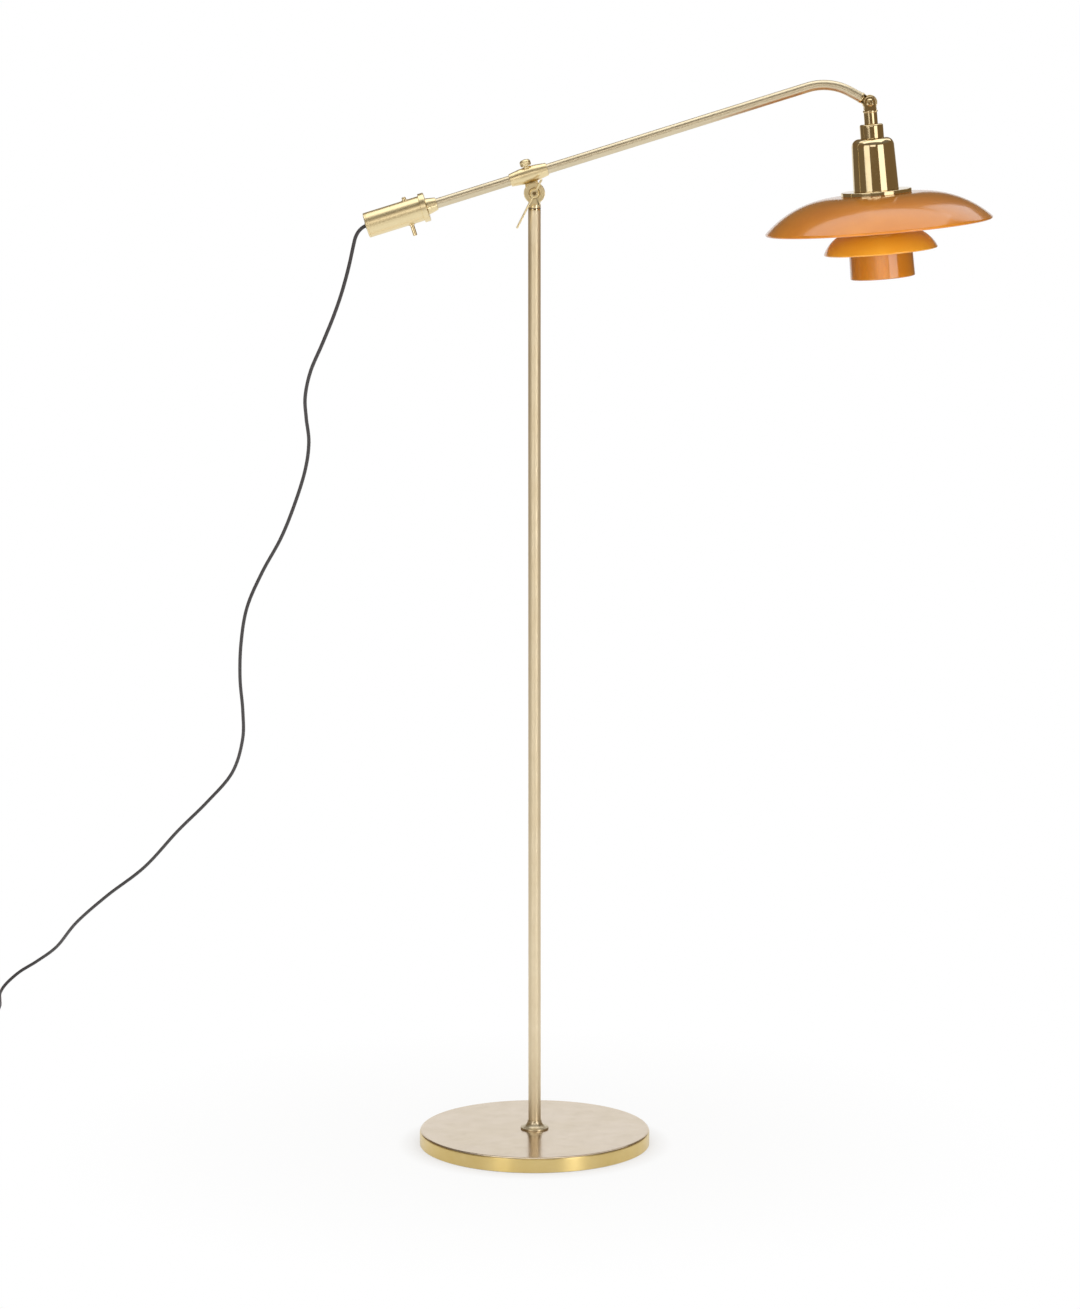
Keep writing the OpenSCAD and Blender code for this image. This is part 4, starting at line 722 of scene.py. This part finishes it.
# From the hub out along the lower edge, round the tip and back along the upper edge
def wingOutline(reach):
    far = reach - wing["tip"]
    foot = named(wing, [("root", "rootLow"), ("footFrom", "foot", 0.006), (far, "foot")])[:-1]
    tip = arcLine((far, wing["foot"] + wing["tip"]), wing["tip"], -90, 100, 24)
    back = named(wing, [tip[-1], ("backTo", "rootHigh", 0.003), ("root", "rootHigh")])[1:]
    return np.concatenate([foot, tip, back])


nutSpot = axes(pivot + ahead * washerFace, worldX, ahead)
wingParts = [(turned(wingHubLine, 72, closed=True), nutSpot)]
for turnBy, reach in ((wing["turn"], wing["short"]), (wing["turn"] + 180, wing["long"])):
    out, half = slope(turnBy), wing["thick"] / 2
    blade = plate(wingOutline(reach), -half, half, wing["edge"], middle=wing["middle"])
    wingParts.append((blade, axes(nutSpot["origin"], out, np.cross(out, ahead))))
fitted("wingNut", wingParts, brassFittings, "wing_nut", "wing_nut")

# Sleeve: a barrel that the arm slides in, on its own round ear, with a boss for the thumb screw
sleeve = {"half": 0.023, "radius": 0.0095, "end": 0.0075, "mid": 0.009, "bore": 0.00605, "swell": 0.03,
          "web": 0.016, "boss": 0.005, "bossBore": 0.00255, "bossFoot": 0.0062, "bossTop": 0.0101}
barrelLine = named(sleeve, [
    ("bore", "-half", 0.0003), ("end", "-half", 0.0006), ("radius", "-mid", "swell"),
    ("radius", "mid", "swell"), ("end", "half", 0.0006), ("bore", "half", 0.0003)], closed=True, arcSteps=8)
bossLine = named(sleeve, [("bossBore", "bossFoot"), ("boss", "bossFoot"), ("boss", "bossTop", 0.0003),
                          ("bossBore", "bossTop", 0.0002)], closed=True)
backEar = earOutline(swivel["ear"], sleeve["web"] / 2, lamp["armRise"])
backEarSpot = axes(pivot, armDir, ahead)
fitted("armSleeve", [
    (turned(barrelLine, 96, closed=True), sleeveSpot), (turned(bossLine, 64, closed=True), screwSpot),
    (plate(backEar, -earFace, -swivel["earIn"], swivel["earEdge"]), backEarSpot)],
    brassFittings, "sleeve", "arm_sleeve")

# Thumb screw: a plain shank under a domed knob with a knurled rim; heights are from the arm's axis
thumb = {"shank": 0.0025, "from": 0.0074, "foot": 0.0109, "footRadius": 0.0061, "radius": 0.0065,
         "rimLow": 0.0121, "rimFrom": 0.0125, "rimTo": 0.0157, "rimHigh": 0.0159, "brow": 0.0167,
         "browRadius": 0.0062, "dome": 0.0183, "domeRadius": 0.0043, "top": 0.0189, "knurls": 36,
         "cut": 0.00018}
thumbLine = np.concatenate([
    named(thumb, [(0, "from"), ("shank", "from", 0.0002), ("shank", "foot", 0.0002),
                  ("footRadius", "foot", 0.0004), ("radius", "rimLow", 0.0003), ("radius", "rimFrom")]),
    named(thumb, [("radius", "rimTo")]),
    named(thumb, [("radius", "rimHigh"), ("browRadius", "brow", 0.0004), ("domeRadius", "dome", 0.003),
                  (0, "top")])])


def knurl(line, angle):  # shallow grooves on the knob's straight rim only
    slack = 0.00005
    onRim = (line[:, 1] > thumb["rimFrom"] - slack) & (line[:, 1] < thumb["rimTo"] + slack)
    return -thumb["cut"] * onRim[:, None] * (0.5 + 0.5 * np.cos(thumb["knurls"] * angle)[None])


knob = turned(thumbLine, 216, ripple=knurl)
fitted("thumbScrew", [(knob, screwSpot)], brassFittings, "thumb_screw", "thumb_screw", sharp=30)
print("swivel, wing nut, sleeve and thumb screw")

# Arm: one tube, straight, bent down at the front and straight again; the wall turns in at its open ends
arm = {"radius": 0.006, "bore": 0.0047, "wall": 0.001, "back": 0.128, "tip": 0.014, "straightSteps": 40,
       "bendSteps": 40, "tipSteps": 4, "sides": 64}


def armPath():  # points on the tube's axis: a straight run, an arc in the arm's plane, the tip's straight run
    straight = np.linspace(-arm["back"], lamp["armFront"], arm["straightSteps"])[:, None] * armDir + armAxis
    a = np.linspace(0, bend, arm["bendSteps"] + 1)[1:, None]
    curve = bendStart + lamp["bendRadius"] * (armDir * np.sin(a) - armUp * (1 - np.cos(a)))
    run = bendEnd + np.linspace(0, arm["tip"], arm["tipSteps"] + 1)[1:, None] * tipDir
    return np.concatenate([straight, curve, run])


armLine = armPath()
armSide = np.repeat(-ahead[None], len(armLine), 0)
armOver = np.cross(unit(np.gradient(armLine, axis=0)), armSide)
armRings = circles(armSide, armOver, arm["sides"])
outerRings, innerRings = (armLine[:, None] + arm[size] * armRings for size in ("radius", "bore"))
armRun = lengths(armLine)
armBack = armRun[-1] + arm["wall"]  # where the way back inside the tube starts
armSurface = {"points": np.concatenate([outerRings, innerRings[::-1]]), "wrapRows": True,
              "u": np.linspace(0, 2 * np.pi * arm["radius"], arm["sides"] + 1),
              "v": np.concatenate([armRun, armBack + armRun, [2 * armBack]])}
fitted("armTube", [(armSurface, floorSpot)], brassTubesPaintedShade, "arm", "arm_tube")

# Arm's tip: a collar and a flat eye with rounded edges, which the head's fork holds
tip = {"from": 0.002, "plug": 0.00465, "run": 0.014, "collar": 0.0065, "end": 0.017, "eye": 0.009,
       "eyeHalf": 0.0035, "eyeEdge": 0.0008, "web": 0.0058, "webShort": 0.002}
tipLine = named(tip, [(0, "from"), ("plug", "from", 0.0004), ("plug", "run"), ("collar", "run", 0.0003),
                      ("collar", "end", 0.0007), (0, "end")])
eyeOutline = earOutline(tip["eye"], tip["web"], lamp["tipReach"] - tip["run"] - tip["webShort"])
eyePlate = plate(eyeOutline, -tip["eyeHalf"], tip["eyeHalf"], tip["eyeEdge"])
eyeSpot = axes(hinge, tipUp, ahead)  # the web runs back to the collar
fitted("armTip", [(turned(tipLine, 72), tipSpot), (eyePlate, eyeSpot)], brassTurned, "arm", "arm_tip")

# Switch housing: a nose and ring, a plain tube and a flat end; distances are back from the tail
housing = {"nose": 0.0075, "noseRoot": 0.010, "ringAt": 0.012, "ring": 0.0174, "shellAt": 0.019,
           "radius": 0.015, "bore": 0.0135, "rearAt": 0.085, "end": 0.0875, "armBore": 0.00605,
           "armStop": 0.014, "wireHole": 0.0026, "spigot": 0.0134, "frontSpigot": 0.027, "rearSpigot": 0.077,
           "bushHole": 0.00455}
noseLine = named(housing, [
    ("armBore", 0, 0.0002), ("nose", 0, 0.0007), ("noseRoot", "ringAt", 0.0012), ("ring", "ringAt", 0.0011),
    ("ring", "shellAt", 0.0004), ("spigot", "shellAt"), ("spigot", "frontSpigot"),
    ("wireHole", "frontSpigot"), ("wireHole", "armStop"), ("armBore", "armStop")], closed=True)
spun("housingNose", noseLine, 96, tailSpot, brassFittings, "arm", "housing_front")
shellLine = named(housing, [("radius", "shellAt", 0.0003), ("radius", "rearAt", 0.0003), ("bore", "rearAt"),
                            ("bore", "shellAt")], closed=True)
spun("housingTube", shellLine, 128, tailSpot, brassFittings, "arm", "housing_shell")
rearLine = named(housing, [
    ("bushHole", "rearSpigot"), ("spigot", "rearSpigot"), ("spigot", "rearAt"), ("radius", "rearAt", 0.0003),
    ("radius", "end", 0.0009), ("bushHole", "end", 0.0003)], closed=True)
spun("housingEnd", rearLine, 128, tailSpot, brassFittings, "arm", "housing_rear")

# Cord's bush: a head inside the housing's end, a plain neck through it and a flared mouth
bush = {"bore": 0.00225, "radius": 0.0045, "from": 0.0685, "head": 0.0065, "headFrom": 0.0750,
        "headTo": 0.0770, "neckTo": 0.0875, "mouth": 0.0885, "lip": 0.0039, "flare": 0.0030}
bushLine = named(bush, [
    ("bore", "from"), ("radius", "from", 0.0003), ("radius", "headFrom"), ("head", "headFrom", 0.0003),
    ("head", "headTo"), ("radius", "headTo"), ("radius", "neckTo"), ("lip", "mouth", 0.0003),
    ("flare", "mouth", 0.0003), ("bore", cord["mouthAt"])], closed=True)
spun("cordBush", bushLine, 64, tailSpot, bushBlack, "arm", "cord_bush", slot="black_plastic")

# Push bar: slides through the housing, with a thin ferrule where it passes the wall on either side
bar = {"radius": 0.0025, "at": 0.0355, "low": -0.0286, "high": 0.019, "end": 0.0009,
       "bore": 0.0027, "ferrule": 0.0042, "from": 0.0144, "to": 0.0155}
barSpot = axes(tail - armDir * bar["at"], armDir, armUp)
barLine = rodLine(bar["radius"], bar["low"], bar["high"], bar["end"], bar["end"])
spun("pushBar", barLine, 48, barSpot, brassTurned, "push_bar", "push_bar", closed=False)
ferruleCorners = [("bore", "from"), ("ferrule", "from"), ("ferrule", "to", 0.0004), ("bore", "to", 0.0002)]
upper = named(bar, ferruleCorners, closed=True)
ferrules = [(turned(line, 48, closed=True), barSpot) for line in (upper, upper * (1, -1))]
fitted("barFerrules", ferrules, brassTurned, "arm")
print("arm, housing and switch bar")

# Head: fork and neck, a collar, the socket house and the glass's flange; distances are down from the hinge
head = {"fork": 0.009, "forkOut": 0.00815, "forkIn": 0.00355, "forkFoot": 0.0088, "slotEnd": 0.0095,
        "forkEnd": 0.0115, "cheekShare": 0.42, "cheekTuck": 0.15, "cheekEnd": 0.011, "cheekSide": 0.6,
        "cheekEdge": 0.0006, "neck": 0.008, "neckFrom": 0.0118, "neckEnd": 0.0255, "spigot": 0.005,
        "spigotEnd": 0.0565, "bore": 0.00505, "collar": 0.014, "collarEnd": 0.042, "houseTop": 0.025,
        "houseFoot": 0.027, "houseEnd": 0.1036, "shoulder": 0.010, "wall": 0.0012, "flange": 0.042,
        "flangeEnd": 0.1086, "flangeBore": 0.0243, "rim": 0.030, "rimBore": 0.027, "rimEnd": 0.1181}
neckLine = named(head, [
    (0, "-slotEnd"), ("forkFoot", "-slotEnd", 0.0005), ("forkFoot", "-forkEnd", 0.0008),
    ("neck", "-neckFrom", 0.0004), ("neck", "-neckEnd", 0.0004), ("spigot", "-neckEnd"),
    ("spigot", "-spigotEnd", 0.0004), (0, "-spigotEnd")])


# A fork's cheek: a round top and straight sides down into the neck; it is as wide as the fork's circle
# a share of the way out to the cheek's outer face
def cheekOutline():
    width = math.sqrt(head["fork"] ** 2 - head["forkOut"] ** 2 * head["cheekShare"])
    a = math.degrees(math.asin(head["cheekTuck"]))
    low = -head["cheekEnd"]
    side = low * head["cheekSide"]
    sides = [(-width, side), (-width, low), (0, low), (width, low), (width, side)]
    return np.concatenate([arcLine((0, 0), width, -a, 180 + a, 40), sides])


cheekSpot = axes(hinge, headX, ahead)
cheeks = [plate(cheekOutline(), low, high, head["cheekEdge"])
          for low, high in ((head["forkIn"], head["forkOut"]), (-head["forkOut"], -head["forkIn"]))]
forkParts = [(turned(neckLine, 96), headSpot), *[(cheek, cheekSpot) for cheek in cheeks]]
fitted("headFork", forkParts, brassTurned, "head", "head_fork")

# Hinge: a screw through the fork, with a slotted dome for a head, and a six-sided nut behind
screw = {"head": 0.0045, "rim": 0.0016, "dome": 0.0055, "domeFrom": 35, "high": 0.003, "slot": 0.0006,
         "slotWall": 0.0002, "slotFloor": 0.0021, "slotTurn": 38, "shank": 0.0025, "shankEnd": 0.0205,
         "nut": 0.0045, "nutHigh": 0.004, "nutEdge": 0.0005}


def slottedHead():  # the slot pushes the dome's height down across a narrow band
    dome = arcLine((0, -screw["rim"]), screw["dome"], screw["domeFrom"], 90, 24)
    line = np.concatenate([[(screw["head"], 0.0), (screw["head"], screw["rim"])], dome])
    line[-1, 0] = 0.0
    surface = turned(line, 144)
    x, z = surface["points"][..., 0], surface["points"][..., 2]
    inSlot = np.clip((screw["slot"] - np.abs(x)) / screw["slotWall"], 0, 1)
    deep, full = np.minimum(z, screw["slotFloor"]), np.minimum(z, screw["high"])
    surface["points"][..., 2] = full * (1 - inSlot) + deep * inSlot
    return surface


hingeSpot = axes(hinge + ahead * head["forkOut"], slope(screw["slotTurn"]), ahead)
shank = turned(rodLine(screw["shank"], -screw["shankEnd"], 0.0, 0.0004), 48)
fitted("hingeScrew", [(slottedHead(), hingeSpot), (shank, hingeSpot)], brassTurned, "head", "hinge_screw")
hexAngle = np.radians(np.arange(6) * 60)
hexSpots = screw["nut"] * np.stack([np.cos(hexAngle), np.sin(hexAngle)], 1)
hexLine = section([(*spot, screw["nutEdge"]) for spot in hexSpots], closed=True, arcSteps=4)
hexPlate = plate(hexLine, 0.0, screw["nutHigh"], screw["nutEdge"])
hexSpot = axes(hinge - ahead * head["forkOut"], headX, -ahead)
fitted("hingeNut", [(hexPlate, hexSpot)], brassTurned, "head", "hinge_nut")

headCollarLine = named(head, [
    ("bore", "-collarEnd"), ("collar", "-collarEnd", 0.0003), ("collar", "-neckEnd", 0.0025),
    ("bore", "-neckEnd")], closed=True, arcSteps=8)
spun("headCollar", headCollarLine, 96, headSpot, brassTurned, "head", "head_collar")
houseUnder = -head["collarEnd"] - head["wall"]
houseLine = named(head, [
    ("bore", "-collarEnd"), ("houseTop", "-collarEnd", "shoulder"), ("houseFoot", "-houseEnd", 0.0003),
    (head["houseFoot"] - head["wall"], "-houseEnd", 0.0003),
    (head["houseTop"] - head["wall"], houseUnder, head["shoulder"] - head["wall"]),
    ("bore", houseUnder)], closed=True, arcSteps=14)
spun("socketHouse", houseLine, 144, headSpot, brassTurned, "head", "socket_house")
flangeLine = named(head, [
    ("flangeBore", "-houseEnd"), ("flange", "-houseEnd", 0.0010), ("flange", "-flangeEnd", 0.0003),
    ("rim", "-flangeEnd"), ("rim", "-rimEnd"), ("rimBore", "-rimEnd"), ("rimBore", "-flangeEnd"),
    ("flangeBore", "-flangeEnd")], closed=True)
spun("shadeFlange", flangeLine, 144, headSpot, brassTurned, "head", "shade_flange")
print("fork, collar, socket house and flange")

# Shades: each a dome in section with a flat neck, its rim rounded off
shades = {"topHole": 0.0303, "topCrown": 0.048, "topArc": 0.122, "topRim": 0.1355, "topGlass": 0.0035,
          "glass": 0.0028, "midHole": 0.0261, "midLip": 0.030, "midRound": 1.079, "midRim": 0.068,
          "midFoot": 0.1755, "lowHole": 0.0261, "lowLip": 0.169, "lowArc": 0.0085, "lowWall": 0.0377,
          "lowRim": 0.0385, "lowFoot": 0.207, "neckEdge": 0.0008, "neckShort": 0.002, "rimTurn": 0.45,
          "rimSteps": 9}


# Outer arc from the flat crown down to the rim, a half round rim, and the inner arc back up
def domeLine(hole, crown, crownZ, arcR, rim, glass, steps):
    fall = math.degrees(math.asin((rim - crown) / arcR))
    middle = (crown, crownZ - arcR)
    lastAngle = 90 - fall + math.degrees(shades["rimTurn"] * glass / arcR)
    outerArc = arcLine(middle, arcR, 90, lastAngle, steps)
    innerArc = arcLine(middle, arcR - glass, lastAngle, 90, steps)
    first, last = outerArc[-1], innerArc[0]
    outward = (first - last) / glass
    onward = np.array([outward[1], -outward[0]])
    a = np.linspace(0, np.pi, shades["rimSteps"] + 1)[1:-1, None]
    rimArc = (first + last) / 2 + glass / 2 * (outward * np.cos(a) + onward * np.sin(a))
    flat, edge, under = crown - shades["neckShort"], shades["neckEdge"], crownZ - glass
    neck = section([(flat, under), (hole, under, edge), (hole, crownZ, edge), (flat, crownZ)])
    return np.concatenate([neck, outerArc, rimArc, innerArc])


topLine = domeLine(shades["topHole"], shades["topCrown"], -head["flangeEnd"], shades["topArc"],
                   shades["topRim"], shades["topGlass"], 48)
midOut = shades["midRim"] - shades["midLip"]
midArc = shades["midRound"] * midOut
midTop = -shades["midFoot"] + (midArc - math.sqrt(midArc ** 2 - midOut ** 2))
midLine = domeLine(shades["midHole"], shades["midLip"], midTop, midArc, shades["midRim"], shades["glass"], 40)
lowUnder = -shades["lowLip"] - shades["glass"]
lowLine = named(shades, [
    ("lowHole", "-lowLip", 0.0007), ("lowWall", "-lowLip", "lowArc"), ("lowRim", "-lowFoot", 0.0012),
    (shades["lowRim"] - shades["glass"], "-lowFoot", 0.0012),
    (shades["lowWall"] - shades["glass"], lowUnder, shades["lowArc"] - shades["glass"]),
    ("lowHole", lowUnder, 0.0007)], closed=True, arcSteps=14)
for shadeName, shadeLine, steps, look, node in (
        ("topShade", topLine, 256, amberTopPaintedShade, "top_shade"),
        ("middleShade", midLine, 192, amberMiddlePaintedLight, "middle_shade"),
        ("bottomShade", lowLine, 160, amberLow, "bottom_shade")):
    spun(shadeName, shadeLine, steps, headSpot, look, "head", node, slot="amber_glass", sharp=60)

# Bulb: a round opal globe that runs in a smooth curve into its neck
bulb = {"radius": 0.0225, "at": -0.147, "roundTo": 42, "neck": 0.012, "neckFoot": -0.1255, "neckTop": -0.074}
globe = arcLine((0, bulb["at"]), bulb["radius"], -90, bulb["roundTo"], 48)
globe[0, 0] = 0.0
neckJoin = named(bulb, [globe[-1], ("neck", "neckFoot", 0.012), ("neck", "neckTop", 0.001), (0, "neckTop")],
                 arcSteps=10)[1:]
bulbLine = np.concatenate([globe, neckJoin])
spun("bulbGlobe", bulbLine, 128, headSpot, opalWhite, "head", "bulb_glass", slot="opal_glass", closed=False,
     sharp=60)
print("shades and bulb")

# CAD nodes that keep their own shape, with a finish each
nodeFinish = {
    "base_weight": castIron, "base_felt": feltGreen, "base_washer": brightSteel, "base_nut": brightSteel,
    "stem_stud": brightSteel, "swivel_bush": brassTurned, "thrust_washer": brownFibre,
    "swivel_retainer": brightSteel, "friction_washer": brownFibre, "clamp_pad": brownFibre,
    "arm_flex": plugBlack, "switch_block": glazedWhite, "switch_terminals": brassTurned,
    "supply_flex": cordBlack, "head_flex": plugBlack, "house_nut": brightSteel, "lampholder": glazedWhite,
    "holder_thread": brassTurned, "holder_contact": brassTurned, "bulb_cap": brightSteel,
    "shade_carrier": brassTurned, "shade_struts": brassTurned, "carrier_screws": brassTurned}
for nodeName, finish in nodeFinish.items():
    cadNodes[nodeName].data.materials.clear()
    cadNodes[nodeName].data.materials.append(finish)
bare = [n for n, o in cadNodes.items() if n not in nodeFinish and not o.hide_render]
print("finishes on CAD nodes:", len(nodeFinish), "left bare:", bare)

# Floor and a low backdrop: pale, white where the camera sees them unshaded, with the lamp's own soft shadow
# left on the floor; mirrors and glass see them white round the lamp and behind it, and dimmer further off
stage = {"floorHalf": 30.0, "floorColour": (0.9, 0.9, 0.9, 1), "rough": 0.9, "gloss": 0.1,
         "own": [(0.20, 0.62), (0.24, 0.92), (0.86, 1.0)], "ownOver": 0.7,
         "fade": [(0.06, (0.95, 0.95, 0.95, 1)), (0.13, (0.86, 0.85, 0.83, 1)), (0.23, (0.70, 0.68, 0.64, 1)),
                  (0.36, (0.36, 0.33, 0.28, 1)), (0.50, (0.18, 0.14, 0.09, 1))],
         "fadeOver": 30.0, "backSpot": (0.0, 1.2, 0.0), "sideways": (2.5, 1.0, 1.0),
         "backAt": 3.0, "backHalf": 1.8, "backHigh": 1.6}


# White where a share is 1, another colour where it is 0
def whiteWhere(nodes, links, share, other):
    choose = nodes.new("ShaderNodeMix")
    choose.data_type = "RGBA"
    links.new(share, choose.inputs["Factor"])
    links.new(other, choose.inputs["A"])
    choose.inputs["B"].default_value = (1, 1, 1, 1)
    return choose.outputs["Result"]


# One shader where a share is 0, a second where it is 1
def mixed(nodes, links, share, first, second):
    mix = nodes.new("ShaderNodeMixShader")
    for socket, source in zip(mix.inputs, (share, first, second)):
        links.new(source, socket)
    return mix.outputs["Shader"]


# A lit floor that glows for rays from the camera, a mirror or glass: the glow is weaker near the lamp, so
# that its shadow stays, and in mirrors it fades away from a spot behind the lamp, quicker to the sides
def floorMaterial():
    material, nodes, links, shader = newMaterial("paleFloor")
    shader.inputs["Base Color"].default_value = stage["floorColour"]
    shader.inputs["Roughness"].default_value = stage["rough"]
    shader.inputs["Specular IOR Level"].default_value = stage["gloss"]
    where = nodes.new("ShaderNodeTexCoord").outputs["Object"]
    rays = nodes.new("ShaderNodeLightPath").outputs
    mirrored = worked(nodes, links, "Math", "MAXIMUM", rays["Is Camera Ray"], rays["Is Glossy Ray"])
    seen = worked(nodes, links, "Math", "MAXIMUM", mirrored, rays["Is Transmission Ray"])
    away = worked(nodes, links, "VectorMath", "LENGTH", where)
    ownStops = [(far, (v, v, v, 1)) for far, v in stage["own"]]
    nearness = ranged(nodes, links, away, 0.0, stage["ownOver"], 0.0, 1.0)
    own = shaded(nodes, links, nearness, ownStops)
    share = worked(nodes, links, "Math", "MULTIPLY", seen, own)
    wider = worked(nodes, links, "VectorMath", "MULTIPLY", where, stage["sideways"], out="Vector")
    behind = worked(nodes, links, "VectorMath", "DISTANCE", wider, stage["backSpot"])
    farness = ranged(nodes, links, behind, 0.0, stage["fadeOver"], 0.0, 1.0)
    faded = shaded(nodes, links, farness, stage["fade"])
    white = nodes.new("ShaderNodeEmission")
    links.new(whiteWhere(nodes, links, rays["Is Camera Ray"], faded), white.inputs["Color"])
    front = mixed(nodes, links, share, shader.outputs["BSDF"], white.outputs["Emission"])
    clear = nodes.new("ShaderNodeBsdfTransparent")
    facing = nodes.new("ShaderNodeNewGeometry")  # the backdrop hides nothing from behind
    oneSided = mixed(nodes, links, facing.outputs["Backfacing"], front, clear.outputs["BSDF"])
    links.new(oneSided, nodes["Material Output"].inputs["Surface"])
    return material


half, wide, at, high = (stage[size] for size in ("floorHalf", "backHalf", "backAt", "backHigh"))
ground = [(-half, -half, 0), (half, -half, 0), (half, half, 0), (-half, half, 0)]
backdrop = [(-wide, at, 0), (wide, at, 0), (wide, at, high), (-wide, at, high)]
floorMesh = bpy.data.meshes.new("floor")
floorMesh.from_pydata(ground + backdrop, [], [(0, 1, 2, 3), (4, 5, 6, 7)])
floorMesh.materials.append(floorMaterial())
floor = bpy.data.objects.new("floor", floorMesh)
bpy.context.scene.collection.objects.link(floor)

# World: white to the camera and through glass; to all else a studio, dim and warm all round and paler above
studio = {"dim": (0.19, 0.135, 0.075, 1), "bright": (0.20, 0.19, 0.17, 1), "above": (0.42, 0.75)}
world = bpy.data.worlds.new("studio")
bpy.context.scene.world = world
world.use_nodes = True
worldNodes, worldLinks = world.node_tree.nodes, world.node_tree.links
where = worldNodes.new("ShaderNodeTexCoord")
parts = worldNodes.new("ShaderNodeSeparateXYZ")
worldLinks.new(where.outputs["Generated"], parts.inputs["Vector"])
above = ranged(worldNodes, worldLinks, parts.outputs["Z"], *studio["above"], 0.0, 1.0)
room = shaded(worldNodes, worldLinks, above, [(0.0, studio["dim"]), (1.0, studio["bright"])])
rays = worldNodes.new("ShaderNodeLightPath").outputs
clear = worked(worldNodes, worldLinks, "Math", "MAXIMUM", rays["Is Camera Ray"], rays["Is Transmission Ray"])
worldLinks.new(whiteWhere(worldNodes, worldLinks, clear, room), worldNodes["Background"].inputs["Color"])

# Lights: tall soft boxes at the left and right front, a small low one under each, one over the camera,
# a broad one overhead and one high at the right behind; the fill lights the front and no mirror shows it
softBoxes = {
    "leftBox": {"at": (-1.70, -2.60, 1.74), "aim": (0.20, 0.0, 1.74), "size": (1.8, 1.62), "glow": 1.15},
    "rightBox": {"at": (2.35, -2.55, 1.75), "aim": (0.30, 0.0, 1.75), "size": (1.8, 1.6), "glow": 1.5},
    "leftLow": {"at": (-1.70, -2.75, 0.32), "aim": (0.0, 0.0, 0.32), "size": (0.8, 0.56), "glow": 3.4},
    "rightLow": {"at": (2.05, -2.60, 0.50), "aim": (0.0, 0.0, 0.50), "size": (0.7, 0.9), "glow": 5.0},
    "frontBox": {"at": (0.0, -4.2, 2.40), "aim": (0.0, 0.0, 1.2), "size": (2.2, 1.6), "glow": 1.2},
    "overBox": {"at": (0.03, 0.28, 3.4), "aim": (0.03, 0.28, 0.0), "size": (3.4, 2.3), "glow": 1.45},
    "backBox": {"at": (1.86, 2.10, 3.22), "aim": (0.45, 0.0, 1.1), "size": (1.2, 1.5), "glow": 1.15},
    "fill": {"at": (0.2, -4.8, 0.9), "aim": (0.3, 0.0, 1.0), "size": (4.0, 1.6), "glow": 7.5}}
for boxName, box in softBoxes.items():
    light = bpy.data.lights.new(boxName, "AREA")
    light.shape = "RECTANGLE"
    light.size, light.size_y = box["size"]
    light.energy = box["glow"] * math.pi * box["size"][0] * box["size"][1]  # even brightness over its face
    lightObject = bpy.data.objects.new(boxName, light)
    lightObject.location = box["at"]
    lightObject.rotation_euler = (Vector(box["aim"]) - Vector(box["at"])).to_track_quat("-Z", "Y").to_euler()
    lightObject.visible_camera = False
    lightObject.visible_glossy = boxName != "fill"
    bpy.context.scene.collection.objects.link(lightObject)

bpy.context.scene.view_settings.view_transform = "Standard"
